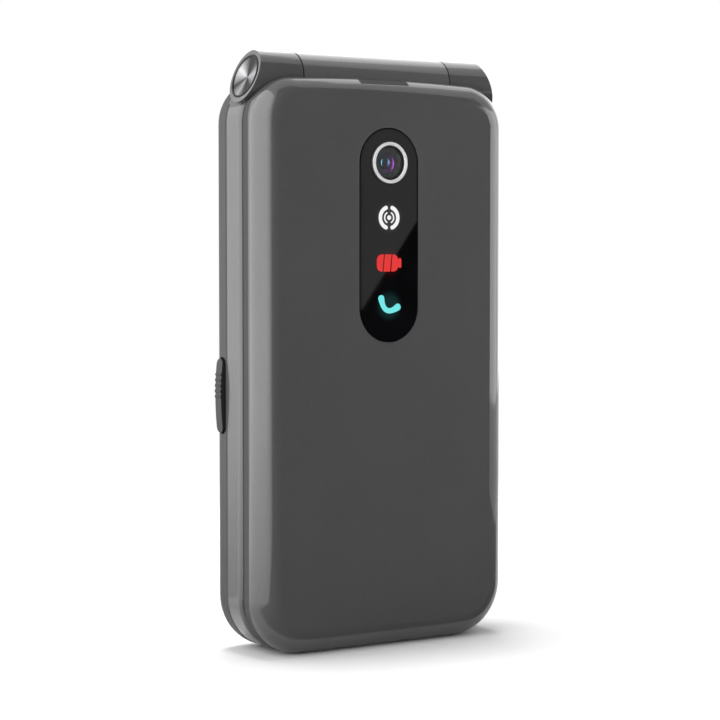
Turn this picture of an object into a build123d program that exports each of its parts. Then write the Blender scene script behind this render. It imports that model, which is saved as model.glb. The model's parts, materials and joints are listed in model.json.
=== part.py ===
from build123d import *
from math import cos, radians, sin, tan
import os

os.makedirs("parts", exist_ok=True)

# A flip phone, closed and standing on its bottom edge. X runs across it, Y from the lid's front
# to the back of the base, and Z up to the barrel hinge. Sizes are in millimetres.

# Body: the outline that both halves share, seen from the front
body_width = 54.0
body_height = 103.7
standing_flat = 24.0
bottom_bow = 0.8
top_bow = 0.8
bottom_corner_radius = 10.0
top_corner_radius = 8.2

# Depths of the two halves
lid_depth = 6.6
base_depth = 9.9
closed_gap = 0.5
front_band_depth = 5.3
front_rounding = 4.3
rear_rounding = 3.0
groove_rounding = 1.0

# Moulded walls
front_wall = 1.4
lid_side_wall = 2.2
lid_rim_wall = 1.2
base_side_wall = 1.6
board_ledge = 1.2
board_rail_width = 1.2
back_wall = 1.4
barrel_wall = 1.2

# Clearances
fit_gap = 0.1
shaft_gap = 0.06
seat_gap = 0.05
barrel_gap = 0.35
knuckle_gap = 0.3
key_gap = 0.3

# Barrel hinge
barrel_radius = 4.65
barrel_bore_radius = 3.1
barrel_drop = 0.35
barrel_setback = 1.0
knuckle_length = 31.4
web_drop = 2.0
ear_end_inset = 1.7
ear_slant = 20.0
cap_radius = 4.0
cap_depth = 1.0
cap_lip = 0.3
cap_dish = 0.55
cap_proud = 0.1

# Hinge cartridge, in the right half of the knuckle
cartridge_length = 15.0
cartridge_wall = 0.6
spring_length = 7.0
spring_turns = 5
spring_wire_radius = 0.35
follower_length = 2.6
detent_height = 0.4
detent_gap = 0.5
detent_foot = 2.4
detent_tip = 0.6
detent_inset = 0.6
shaft_key_length = 5.5
shaft_flat = 4.2
bush_length = 9.0
bush_wall = 0.8
bush_seat = 2.6

# Window in the lid's front, with the camera and three lights
window_width = 12.6
window_height = 38.7
window_top_drop = 9.15
window_depth = 0.8
window_ledge = 1.5
camera_drop = 15.4
ring_radius = 3.8
ring_width = 0.7
ring_proud = 0.5
ring_step = 0.4
ring_rounding = 0.2
camera_glass_depth = 0.5
camera_glass_recess = 0.35
module_foot = 7.2
module_foot_depth = 0.8
module_radius = 3.3
module_dish_radius = 2.6
module_dish_depth = 0.8
module_lens_radius = 1.3
module_lens_height = 0.4
light_drops = (25.4, 33.7, 41.5)
light_guide_width = 6.2
light_guide_height = 5.4
light_guide_corner = 1.2

# Lip notch over the middle of the lid
lip_notch_width = 10.4
lip_notch_depth = 0.45
lip_notch_angle = 60

# Inside face of the lid
frame_thickness = 1.6
screen_margin = 4.0
screen_bottom = 17.5
screen_top_drop = 12.2
screen_depth = 0.8
screen_inset = 0.15
screen_corner = 2.0
panel_margin = 1.7
panel_bottom = 22.35
panel_top_drop = 21.05
panel_depth = 2.2
earpiece_z = 11.5
earpiece_slot = (14.0, 2.2)
earpiece_step = (1.2, 0.8)
grille_depth = 0.8
grille_recess = 0.2
grille_slit = (1.2, 0.6)
grille_slits = 8
grille_pitch = 1.4
receiver_size = (16.0, 7.0)
receiver_depth = 2.5
receiver_corner = 1.5
lid_board_width = 36.0
lid_board_height = 36.0
lid_rail_inset = 2.0
magnet_size = 5.0
magnet_depth = 1.4
magnet_place = (14.5, 13.5)

# Fasteners
lid_screw_inset = 6.0
lid_screw_bottom = 8.5
lid_screw_top_drop = 9.5
screw_radius = 0.7
screw_head_radius = 1.3
screw_head_depth = 0.65
lid_screw_length = 2.6
boss_radius = 2.1
bumper_radius = 1.9
bumper_pocket = 0.5
bumper_proud = 0.25
bumper_chamfer = 0.2
base_screw_inset = 3.5
base_screw_bottom = 8.0
base_screw_top_drop = 14.2
base_screw_tip_room = 0.45
gusset_thickness = 0.8

# Keypad
keypad_recess = 0.4
keypad_margin = 4.0
keypad_bottom = 12.0
keypad_top_drop = 16.7
keypad_corner = 3.0
function_block_height = 33.0
key_spacing = 1.8
key_corner = 2.2
key_proud = 0.5
key_edge = 0.3
key_crown_radius = 130.0
key_flange = 0.7
flange_thickness = 0.4
key_travel = 0.25
travel_spare = 0.05
nav_radius = 11.0
ok_radius = 5.0
function_key_reach = 2.75
nav_lift = 0.3
nav_flange = 0.8
nav_flange_thickness = 0.3
nav_sink = 0.1
nav_edge_rounding = 0.4
nav_plate_thickness = 0.2
nav_plate_gap = 0.5
nav_nub = (1.0, 2.0)
nav_nub_inset = 1.3
nav_foot = (0.8, 1.6)
nav_foot_inset = 0.6
ok_flange = 1.4
ok_flange_thickness = 0.25
ok_spare = 0.02

# Switches under the keys
mat_thickness = 0.4
nub_radius = 1.1
nub_height = 0.2
dome_radius = 2.5
dome_height = 0.2
dome_sheet_thickness = 0.1
nav_dome_radius = 1.8
nav_dome_inset = 3.0
function_dome_inset = 6.1
sheet_margin = 0.4
board_thickness = 0.8

# Battery and its cover
cover_margin = 6.0
cover_bottom = 4.6
cover_top_drop = 10.7
cover_corner = 6.0
cover_thickness = 1.2
cover_gap = 0.2
cover_ledge = 1.5
cover_edge = 0.3
ledge_depth = 1.0
thumb_notch = (14.0, 4.0)
thumb_notch_depth = 0.8
battery_width = 32.0
battery_bottom = 14.4
battery_corner = 1.2
battery_edge = 0.4
bay_wall = 1.0
bay_rib = 1.5
bay_floor = 0.7
card_bay_height = 12.0
contact_wall = 3.0
contact_width = 10.6
contact_depth = 2.6
blade_pitch = 3.2
blade_width = 1.4
blade_depth = 1.2
peg_width = 0.9
peg_length = 4.0
peg_depth = 0.8
peg_spacing = 24.0
seam_lip = 0.8

# Pieces on the main board
board_part_gap = 0.6
can_size = (6.2, 40.0)
can_center_z = 44.0
can_depth = 2.0
can_wall = 0.25
chip_size = (4.5, 9.0)
chip_bottom = 28.0
chip_top_drop = 37.7
chip_depth = 1.0
speaker_size = (18.0, 9.0)
speaker_depth = 3.6
speaker_corner = 2.2
speaker_rim = 1.0
speaker_groove = 1.5
speaker_groove_depth = 0.5
speaker_slit = (11.0, 0.9)
speaker_slits = 4
speaker_slit_pitch = 1.8
microphone_radius = 2.0
microphone_hole = 0.6
microphone_place = (8.0, 6.5)
motor_radius = 4.0
motor_depth = 2.6
motor_edge = 0.4
motor_place = (-9.7, 6.9)
antenna_size = (9.0, 6.0)
antenna_place = (10.4, 7.6)
antenna_thickness = 0.3
antenna_slot = 0.7
antenna_slot_reach = 1.3
card_frame = (27.0, 11.0)
card_frame_depth = 1.5
card_sheet = 0.3
card_pitch = 14.0
card_slot = (11.5, 9.0)
card_window = (6.0, 5.5)
ribbon_thickness = 0.15
lid_ribbon_span = (-7.0, -1.5)
lid_foot_inset = 1.5
tail_room = 0.4
roll_end = 1.0
base_tail_drop = 4.5
base_tail_width = 3.4

# Volume rocker on the left side
rocker_z = 46.35
rocker_length = 13.4
rocker_width = 2.1
rocker_proud = 0.85
rocker_crown = 0.4
rocker_gap = 0.25
rocker_flange = 1.2
rocker_foot = 0.4
rocker_rib_radius = 0.3
rocker_rib_pitch = 1.0
rocker_rib_rise = 1.8
rocker_ribs = 5
switch_board = (2.4, 14.4)
switch_thickness = 0.6
switch_reach = 4.2
switch_radius = 0.8
switch_travel = 0.7

# Port in the bottom edge
port_width = 8.94
port_height = 3.2
port_depth = 7.3
port_gap = 0.3
port_setback = 0.6
port_wall = 0.3
port_back = 1.0
tongue_size = (6.7, 0.7)
tongue_setback = 0.8

# Places worked out from the sizes above
half_width = body_width / 2
lid_front_y = -(lid_depth + closed_gap + base_depth) / 2
lid_back_y = lid_front_y + lid_depth
base_front_y = lid_back_y + closed_gap
base_back_y = base_front_y + base_depth
seam_y = base_front_y + front_band_depth
hinge_y = base_front_y + barrel_setback
hinge_z = body_height - barrel_drop
recess_radius = barrel_radius + barrel_gap
rail_z = hinge_z - recess_radius - barrel_wall
web_bottom_z = rail_z - web_drop
lid_board_top = web_bottom_z - seat_gap
lid_board_center_z = lid_board_top - lid_board_height / 2
ear_start_x = knuckle_length / 2 + knuckle_gap
ear_end_x = half_width - ear_end_inset
bush_end_x = -(ear_start_x + bush_seat)
window_center_z = body_height - window_top_drop - window_height / 2
camera_z = body_height - camera_drop
light_heights = [body_height - drop for drop in light_drops]
screen_top = body_height - screen_top_drop
panel_top = body_height - panel_top_drop
lid_screw_heights = (lid_screw_bottom, body_height - lid_screw_top_drop)
lid_screw_x = half_width - lid_screw_inset
lid_screw_places = [(x, z) for x in (-lid_screw_x, lid_screw_x) for z in lid_screw_heights]
keypad_top = body_height - keypad_top_drop
cover_width = body_width - 2 * cover_margin
cover_top = body_height - cover_top_drop
base_screw_x = cover_width / 2 - base_screw_inset
base_screw_heights = (base_screw_bottom, body_height - base_screw_top_drop)
base_screw_places = [(x, z) for x in (-base_screw_x, base_screw_x) for z in base_screw_heights]
chip_heights = (chip_bottom, body_height - chip_top_drop)


# Planes that face the front of the phone, or look along the hinge
def facing_front(y):
    return Plane.XZ.offset(-y)


def across(x):
    return Plane.YZ.offset(x)


def save(piece, name):
    piece.part.label = name
    export_step(piece.part, "parts/" + name + ".step")


def body_outline(y, inset=0.0):
    low_corner = (half_width, bottom_bow)
    high_corner = (half_width, body_height - top_bow)
    with BuildSketch(facing_front(y)) as outline:
        with BuildLine():
            Line((0, 0), (standing_flat / 2, 0))
            TangentArc((standing_flat / 2, 0), low_corner, tangent=(1, 0))
            Line(low_corner, high_corner)
            ThreePointArc(high_corner, (0, body_height), (-half_width, high_corner[1]))
            Line((-half_width, high_corner[1]), (-half_width, bottom_bow))
            TangentArc((-standing_flat / 2, 0), (-half_width, bottom_bow), tangent=(-1, 0))
            Line((-standing_flat / 2, 0), (0, 0))
        make_face()
        fillet(outline.vertices().group_by(Axis.Y)[-1], top_corner_radius)
        fillet(outline.vertices().group_by(Axis.Y)[1], bottom_corner_radius)
        if inset > 0:
            offset(amount=-inset, mode=Mode.REPLACE)
    return outline.sketch


# A slab of the body's outline, its front and back edges rounded
def body_slab(front_y, back_y, inset=0.0, front_edge=0.0, back_edge=0.0):
    with BuildPart() as slab:
        extrude(body_outline(back_y, inset), amount=back_y - front_y)
        if front_edge > 0:
            fillet(slab.faces().sort_by(Axis.Y)[0].edges(), front_edge)
        if back_edge > 0:
            fillet(slab.faces().sort_by(Axis.Y)[-1].edges(), back_edge)
    return slab.part


# The hollow of a housing, which ends under the rail that carries the barrel
def body_hollow(front_y, back_y, inset, front_edge=0.0, back_edge=0.0):
    with BuildPart() as hollow:
        add(body_slab(front_y, back_y, inset, front_edge, back_edge))
        split(bisect_by=Plane.XY.offset(rail_z), keep=Keep.BOTTOM)
    return hollow.part


def panel(width, height, center_x, center_z, front_y, back_y, corner=0.0):
    with BuildPart() as plate:
        with BuildSketch(facing_front(back_y)):
            with Locations((center_x, center_z)):
                if corner > 0:
                    RectangleRounded(width, height, corner)
                else:
                    Rectangle(width, height)
        extrude(amount=back_y - front_y)
    return plate.part


# A panel on the phone's middle line, from one height to another
def between(width, low_z, high_z, front_y, back_y, corner=0.0):
    return panel(width, high_z - low_z, 0, (low_z + high_z) / 2, front_y, back_y, corner)


def post(radius, center_x, center_z, front_y, back_y):
    with BuildPart() as pin:
        with BuildSketch(facing_front(back_y)):
            with Locations((center_x, center_z)):
                Circle(radius)
        extrude(amount=back_y - front_y)
    return pin.part


# A rod along the hinge axis
def barrel(radius, start_x, end_x):
    with BuildPart() as rod:
        with BuildSketch(across(start_x)):
            with Locations((hinge_y, hinge_z)):
                Circle(radius)
        extrude(amount=end_x - start_x)
    return rod.part


def tube(outer_radius, inner_radius, start_x, end_x):
    with BuildPart() as sleeve:
        with BuildSketch(across(start_x)):
            with Locations((hinge_y, hinge_z)):
                Circle(outer_radius)
                Circle(inner_radius, mode=Mode.SUBTRACT)
        extrude(amount=end_x - start_x)
    return sleeve.part


def window_outline(y, inset=0.0):
    with BuildSketch(facing_front(y)) as outline:
        with Locations((0, window_center_z)):
            SlotOverall(window_height - 2 * inset, window_width - 2 * inset, rotation=90)
    return outline.sketch


# Lid: depths of its layers, front to back
window_back_y = lid_front_y + window_depth
lid_wall_back_y = lid_front_y + front_wall
frame_front_y = lid_back_y - frame_thickness
screen_back_y = lid_back_y - screen_inset
screen_front_y = screen_back_y - screen_depth
panel_front_y = screen_front_y - panel_depth
lid_board_front_y = panel_front_y - board_thickness
screen_width = body_width - 2 * screen_margin
panel_width = screen_width - 2 * panel_margin
web_front_y = hinge_y - barrel_radius
lid_tail_y = frame_front_y + fit_gap
foot_z = lid_board_top - lid_foot_inset
base_roll = barrel_bore_radius - bush_wall - key_gap
base_tail_y = hinge_y + base_roll
base_tail_span = (bush_end_x - tail_room - base_tail_width, bush_end_x - tail_room)

# Lid front cover: a dished shell, its top rail hollowed for the barrel
with BuildPart() as lid_front_cover:
    add(body_slab(lid_front_y, lid_back_y, 0, front_rounding, groove_rounding))
    inner_rounding = front_rounding - front_wall
    add(body_hollow(lid_wall_back_y, lid_back_y, lid_side_wall, inner_rounding), mode=Mode.SUBTRACT)
    add(body_hollow(frame_front_y, lid_back_y, lid_rim_wall), mode=Mode.SUBTRACT)
    add(barrel(recess_radius, -body_width, body_width), mode=Mode.SUBTRACT)
    # slot in the rail for the web of the knuckle
    web_slot_bottom = web_bottom_z - fit_gap
    with BuildSketch(facing_front(lid_back_y)):
        with Locations((0, (web_slot_bottom + body_height) / 2)):
            Rectangle(knuckle_length + 2 * fit_gap, body_height - web_slot_bottom)
    extrude(amount=lid_back_y - web_front_y + fit_gap, mode=Mode.SUBTRACT)
    # seat and opening of the window
    extrude(window_outline(window_back_y, -fit_gap), amount=window_depth, mode=Mode.SUBTRACT)
    extrude(window_outline(lid_wall_back_y, window_ledge), amount=front_wall, mode=Mode.SUBTRACT)
    # shallow notch in the lip
    with BuildSketch(facing_front(0)):
        with Locations((0, body_height)):
            Trapezoid(lip_notch_width, 2 * lip_notch_depth, lip_notch_angle, rotation=180)
    extrude(amount=-lid_front_y, mode=Mode.SUBTRACT)
    # screw posts with a gusset to the side wall, and the two rails under the circuit board
    screw_tip_y = frame_front_y - lid_screw_length
    wall_x = half_width - lid_side_wall
    for x, z in lid_screw_places:
        gusset_x = (x + wall_x * x / abs(x)) / 2
        add(panel(wall_x - abs(x), gusset_thickness, gusset_x, z, lid_wall_back_y, frame_front_y))
        add(post(boss_radius, x, z, lid_wall_back_y, frame_front_y))
        add(post(screw_radius + seat_gap, x, z, screw_tip_y, frame_front_y), mode=Mode.SUBTRACT)
    rail_x = lid_board_width / 2 - lid_rail_inset
    for x in (-rail_x, rail_x):
        rail = (board_rail_width, lid_board_height, x, lid_board_center_z)
        add(panel(*rail, lid_wall_back_y, lid_board_front_y))
save(lid_front_cover, "lid_front_cover")


# Slot that lets a ribbon's tail out of the barrel, down into its half of the body
def ribbon_slot(span, low_z, front_y, back_y):
    width = span[1] - span[0] + 2 * fit_gap
    return panel(width, hinge_z - low_z, (span[0] + span[1]) / 2, (hinge_z + low_z) / 2, front_y, back_y)


# Window: a black pill with a round hole for the camera's ring
with BuildPart() as lid_window:
    extrude(window_outline(window_back_y), amount=window_depth)
    add(post(ring_radius + seat_gap, 0, camera_z, lid_front_y, window_back_y), mode=Mode.SUBTRACT)
save(lid_window, "lid_window")

# Camera ring: it stands proud of the window and carries the glass on an inner step
glass_front_y = lid_front_y - ring_proud + camera_glass_recess
glass_back_y = glass_front_y + camera_glass_depth
ring_front_y = lid_front_y - ring_proud
ring_bore = ring_radius - ring_width
camera_axis = Axis((0, 0, camera_z), (0, 1, 0))
with BuildPart() as camera_ring:
    with BuildSketch(Plane.XY.offset(camera_z)) as profile:
        with BuildLine():
            Polyline(
                (ring_bore - ring_step, window_back_y),
                (ring_radius, window_back_y),
                (ring_radius, ring_front_y),
                (ring_bore, ring_front_y),
                (ring_bore, glass_back_y),
                (ring_bore - ring_step, glass_back_y),
                close=True,
            )
        make_face()
        fillet(profile.vertices().group_by(Axis.Y)[0], ring_rounding)
    revolve(axis=camera_axis)
save(camera_ring, "camera_ring")

with BuildPart() as camera_lens:
    add(post(ring_bore - seat_gap, 0, camera_z, glass_front_y, glass_back_y))
save(camera_lens, "camera_lens")

# Camera module: a square foot, a round barrel and a dished front round a small lens
with BuildPart() as camera_module:
    foot_front_y = lid_board_front_y - module_foot_depth
    add(panel(module_foot, module_foot, 0, camera_z, foot_front_y, lid_board_front_y))
    add(post(module_radius, 0, camera_z, window_back_y, lid_board_front_y))
    with BuildSketch(facing_front(window_back_y)):
        with Locations((0, camera_z)):
            Circle(module_dish_radius)
    extrude(amount=-module_dish_depth, taper=30, mode=Mode.SUBTRACT)
    with BuildSketch(facing_front(window_back_y + module_dish_depth + fit_gap)):
        with Locations((0, camera_z)):
            Circle(module_lens_radius)
    extrude(amount=module_lens_height, taper=35)
save(camera_module, "camera_module")

with BuildPart() as light_guides:
    with BuildSketch(facing_front(lid_board_front_y)):
        with Locations(*[(0, z) for z in light_heights]):
            RectangleRounded(light_guide_width, light_guide_height, light_guide_corner)
    extrude(amount=lid_board_front_y - window_back_y)
save(light_guides, "light_guides")

# Lid frame: the bezel round the screen, with the middle knuckle of the hinge
frame_inset = lid_rim_wall + fit_gap
with BuildPart() as lid_inner_frame:
    add(body_hollow(frame_front_y, lid_back_y, frame_inset))
    with BuildSketch(facing_front(lid_back_y)):
        with Locations((0, (web_bottom_z + hinge_z) / 2)):
            Rectangle(knuckle_length, hinge_z - web_bottom_z)
    extrude(amount=lid_back_y - web_front_y)
    add(barrel(barrel_radius, -knuckle_length / 2, knuckle_length / 2))
    add(barrel(barrel_bore_radius, -knuckle_length / 2, knuckle_length / 2), mode=Mode.SUBTRACT)
    # seat of the screen lens and the opening for the display
    lens_seat = (screen_width + 2 * fit_gap, screen_bottom - fit_gap, screen_top + fit_gap)
    add(between(*lens_seat, screen_front_y, lid_back_y, screen_corner + fit_gap), mode=Mode.SUBTRACT)
    opening = (panel_width + 2 * fit_gap, panel_bottom - fit_gap, panel_top + fit_gap)
    add(between(*opening, frame_front_y, lid_back_y), mode=Mode.SUBTRACT)
    # earpiece slot on a step
    with BuildSketch(facing_front(lid_back_y)):
        with Locations((0, earpiece_z)):
            SlotOverall(earpiece_slot[0] + 2 * seat_gap, earpiece_slot[1] + 2 * seat_gap)
    extrude(amount=grille_recess + grille_depth, mode=Mode.SUBTRACT)
    with BuildSketch(facing_front(lid_back_y)):
        with Locations((0, earpiece_z)):
            SlotOverall(earpiece_slot[0] - earpiece_step[0], earpiece_slot[1] - earpiece_step[1])
    extrude(amount=frame_thickness, mode=Mode.SUBTRACT)
    slot_back_y = lid_tail_y + ribbon_thickness + fit_gap
    add(ribbon_slot(lid_ribbon_span, foot_z - fit_gap, frame_front_y, slot_back_y), mode=Mode.SUBTRACT)
    # screw holes, with pockets for the bumpers over the heads
    head_back_y = lid_back_y - bumper_pocket
    head_front_y = head_back_y - screw_head_depth
    for x, z in lid_screw_places:
        add(post(screw_radius + fit_gap, x, z, frame_front_y, lid_back_y), mode=Mode.SUBTRACT)
        add(post(screw_head_radius + fit_gap, x, z, head_front_y, lid_back_y), mode=Mode.SUBTRACT)
        add(post(bumper_radius + seat_gap, x, z, head_back_y, lid_back_y), mode=Mode.SUBTRACT)
save(lid_inner_frame, "lid_inner_frame")

with BuildPart() as screen_lens:
    add(between(screen_width, screen_bottom, screen_top, screen_front_y, screen_back_y, screen_corner))
save(screen_lens, "screen_lens")

with BuildPart() as display_panel:
    add(between(panel_width, panel_bottom, panel_top, panel_front_y, screen_front_y))
save(display_panel, "display_panel")

# Earpiece grille: a plate on the slot's step, pierced by a row of slits
with BuildPart() as earpiece_grille:
    with BuildSketch(facing_front(lid_back_y - grille_recess)):
        with Locations((0, earpiece_z)):
            SlotOverall(*earpiece_slot)
            with GridLocations(grille_pitch, 0, grille_slits, 1):
                SlotOverall(*grille_slit, rotation=90, mode=Mode.SUBTRACT)
    extrude(amount=grille_depth)
save(earpiece_grille, "earpiece_grille")

with BuildPart() as earpiece_receiver:
    add(panel(*receiver_size, 0, earpiece_z, frame_front_y - receiver_depth, frame_front_y, receiver_corner))
save(earpiece_receiver, "earpiece_receiver")

with BuildPart() as lid_board:
    add(panel(lid_board_width, lid_board_height, 0, lid_board_center_z, lid_board_front_y, panel_front_y))
save(lid_board, "lid_board")

with BuildPart() as lid_screws:
    for x, z in lid_screw_places:
        add(post(screw_head_radius, x, z, head_front_y, head_back_y))
        add(post(screw_radius, x, z, screw_tip_y + fit_gap, head_front_y))
save(lid_screws, "lid_screws")

with BuildPart() as lid_bumpers:
    for x, z in lid_screw_places:
        add(post(bumper_radius, x, z, head_back_y, lid_back_y + bumper_proud))
    chamfer(lid_bumpers.faces().group_by(Axis.Y)[-1].edges(), bumper_chamfer)
save(lid_bumpers, "lid_bumpers")

with BuildPart() as lid_magnet:
    add(panel(magnet_size, magnet_size, *magnet_place, frame_front_y - magnet_depth, frame_front_y))
save(lid_magnet, "lid_magnet")

# Hinge cartridge: a closed sleeve in the knuckle, with a spring, a follower and the shaft
cartridge_end_x = knuckle_length / 2
cartridge_start_x = cartridge_end_x - cartridge_length
cartridge_radius = barrel_bore_radius - seat_gap
cartridge_bore = cartridge_radius - cartridge_wall
spring_start_x = cartridge_start_x + cartridge_wall
follower_start_x = spring_start_x + spring_length
follower_end_x = follower_start_x + follower_length
shaft_start_x = follower_end_x + detent_gap

with BuildPart() as hinge_barrel:
    add(barrel(cartridge_radius, cartridge_start_x, cartridge_end_x))
    add(barrel(cartridge_bore, spring_start_x, cartridge_end_x), mode=Mode.SUBTRACT)
save(hinge_barrel, "hinge_barrel")

coil_radius = cartridge_bore - spring_wire_radius - fit_gap
with BuildPart() as hinge_spring:
    coil_length = spring_length - 2 * spring_wire_radius
    coil_start = (spring_start_x + spring_wire_radius, hinge_y, hinge_z)
    with BuildLine() as coil:
        Helix(coil_length / spring_turns, coil_length, coil_radius, center=coil_start, direction=(1, 0, 0))
    with BuildSketch(Plane(origin=coil.line @ 0, z_dir=coil.line % 0)):
        RegularPolygon(spring_wire_radius, 4)
    sweep(path=coil.line, is_frenet=True)
save(hinge_spring, "hinge_spring")

with BuildPart() as hinge_follower:
    add(barrel(cartridge_bore - fit_gap, follower_start_x, follower_end_x - detent_height))
    with BuildSketch(Plane.XY.offset(hinge_z)):
        with BuildLine():
            Polyline(
                (follower_end_x - detent_height, hinge_y - detent_foot / 2),
                (follower_end_x, hinge_y - detent_tip / 2),
                (follower_end_x, hinge_y + detent_tip / 2),
                (follower_end_x - detent_height, hinge_y + detent_foot / 2),
                close=True,
            )
        make_face()
    extrude(amount=cartridge_bore - detent_inset, both=True)
save(hinge_follower, "hinge_follower")

# The shaft turns in the cartridge's sleeve, and its flats are keyed in the right ear
shaft_key_start_x = ear_start_x - fit_gap
with BuildPart() as hinge_shaft:
    add(barrel(cartridge_bore - shaft_gap, shaft_start_x, shaft_key_start_x))
    with BuildSketch(across(shaft_key_start_x)):
        with Locations((hinge_y, hinge_z)):
            Circle(cartridge_radius)
            Rectangle(2 * cartridge_radius, shaft_flat, mode=Mode.INTERSECT)
    extrude(amount=shaft_key_length)
save(hinge_shaft, "hinge_shaft")

# Base: depths of its layers, front to back
fascia_y = base_front_y + keypad_recess
wall_back_y = base_front_y + front_wall
key_front_y = fascia_y - key_proud
key_back_y = wall_back_y + flange_thickness
mat_front_y = key_back_y + key_travel + travel_spare
mat_back_y = mat_front_y + mat_thickness
dome_tip_y = mat_back_y + nub_height
dome_sheet_y = dome_tip_y + dome_height
board_front_y = dome_sheet_y + dome_sheet_thickness
board_back_y = board_front_y + board_thickness
bay_front_y = board_back_y + fit_gap
bay_floor_y = bay_front_y + bay_floor
cover_front_y = base_back_y - cover_thickness
ledge_front_y = cover_front_y - ledge_depth

# Keypad layout
keypad_width = body_width - 2 * keypad_margin
keypad_height = keypad_top - keypad_bottom
column_pitch = (keypad_width - key_spacing / 2) / 3
row_pitch = (keypad_height - function_block_height) / 4
key_width = column_pitch - key_spacing
key_height = row_pitch - key_spacing
digit_corner = min(key_corner, 0.45 * key_height)
nav_z = keypad_top - function_block_height / 2
function_key_height = (function_block_height - 2 * key_spacing) / 2
function_key_z = function_key_height / 2 + key_spacing / 2
function_key_outer_x = 1.5 * column_pitch - key_spacing / 2
function_key_inner_x = nav_radius - function_key_reach


def digit_outline(y, column, row, growth=0.0):
    center = (column * column_pitch, keypad_bottom + (row + 0.5) * row_pitch)
    with BuildSketch(facing_front(y)) as outline:
        with Locations(center):
            RectangleRounded(key_width + 2 * growth, key_height + 2 * growth, digit_corner + growth)
    return outline.sketch


# Keys beside the ring: their inner sides follow its curve
def function_outline(y, side, level, growth=0.0):
    width = function_key_outer_x - function_key_inner_x
    center_x = side * (function_key_outer_x + function_key_inner_x) / 2
    with BuildSketch(facing_front(y)) as outline:
        with Locations((center_x, nav_z + level * function_key_z)):
            Rectangle(width, function_key_height)
        with Locations((0, nav_z)):
            Circle(nav_radius + key_spacing + key_gap, mode=Mode.SUBTRACT)
        fillet(outline.vertices(), key_corner / 2)
        if growth > 0:
            offset(amount=growth, mode=Mode.REPLACE)
    return outline.sketch


def round_outline(y, radius):
    with BuildSketch(facing_front(y)) as outline:
        with Locations((0, nav_z)):
            Circle(radius)
    return outline.sketch


digit_names = {
    3: ("key_1", "key_2", "key_3"),
    2: ("key_4", "key_5", "key_6"),
    1: ("key_7", "key_8", "key_9"),
    0: ("key_star", "key_0", "key_hash"),
}
digit_places = {}
for row, names in digit_names.items():
    for column, name in zip((-1, 0, 1), names):
        digit_places[name] = (column, row)
function_places = {
    "key_soft_left": (-1, 1),
    "key_soft_right": (1, 1),
    "key_call": (-1, -1),
    "key_end": (1, -1),
}


# The slanted end of the right ear, and the plane of its metal cap
ear_normal = (cos(radians(ear_slant)), 0, sin(radians(ear_slant)))
ear_end = Plane(origin=(ear_end_x, hinge_y, hinge_z), z_dir=ear_normal)
cap_section = Plane(origin=ear_end.origin, x_dir=(0, 1, 0), z_dir=(ear_normal[2], 0, -ear_normal[0]))


def hinge_ear():
    with BuildPart() as ear:
        add(barrel(barrel_radius, ear_start_x, half_width + barrel_radius))
        split(bisect_by=ear_end, keep=Keep.BOTTOM)
    return ear.part


# Round seat of the cap, sunk into the ear's end and the corner of the housing below it
def cap_seat():
    with BuildPart() as seat:
        with BuildSketch(ear_end):
            Circle(cap_radius + fit_gap)
        extrude(amount=-cap_depth)
    return seat.part


def both_ends(one_end):
    with BuildPart() as pair:
        add(one_end)
        mirror(about=Plane.YZ)
    return pair.part


# Back half: depths and places of the battery compartment
bay_width = battery_width + 2 * cover_gap
speaker_bay_width = speaker_size[0] + 2 * cover_gap
cover_center_z = (cover_top + cover_bottom) / 2
speaker_bay_top = cover_top - cover_ledge - bay_wall
speaker_bay_bottom = speaker_bay_top - speaker_size[1] - 2 * cover_gap
card_bay_top = speaker_bay_bottom - bay_rib
card_bay_bottom = card_bay_top - card_bay_height
bay_top = card_bay_bottom - contact_wall
battery_top = bay_top - cover_gap
battery_back_y = cover_front_y - fit_gap
head_seat_y = cover_front_y - screw_head_depth
screw_point_y = wall_back_y + base_screw_tip_room
port_center_y = board_back_y + port_height / 2
rocker_center_y = seam_y + rocker_gap + rocker_width / 2
wall_inner_x = -half_width + base_side_wall


def port_outline(z, growth=0.0):
    with BuildSketch(Plane.XY.offset(z)) as outline:
        with Locations((0, port_center_y)):
            SlotOverall(port_width + 2 * growth, port_height + 2 * growth)
    return outline.sketch


def rocker_outline(x, growth=0.0):
    with BuildSketch(across(x)) as outline:
        with Locations((rocker_center_y, rocker_z)):
            SlotOverall(rocker_length + 2 * growth, rocker_width + 2 * growth, rotation=90)
    return outline.sketch


# Opening of the port, which the seam divides between the two housings
def port_opening():
    with BuildPart() as opening:
        extrude(port_outline(-1, port_gap), amount=2 + base_side_wall + board_ledge)
    return opening.part


# Pegs of the battery cover, and with some growth the slots that take them
def cover_pegs(growth=0.0):
    with BuildPart() as pegs:
        with BuildSketch(facing_front(cover_front_y)):
            with Locations((0, cover_center_z)):
                with GridLocations(cover_width - 2 * cover_ledge - peg_width, peg_spacing, 2, 3):
                    Rectangle(peg_width + 2 * growth, peg_length + 2 * growth)
        extrude(amount=peg_depth + growth)
    return pegs.part


ear_bore_end = ear_end_x - barrel_bore_radius * tan(radians(ear_slant)) - cap_depth - knuckle_gap

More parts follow.
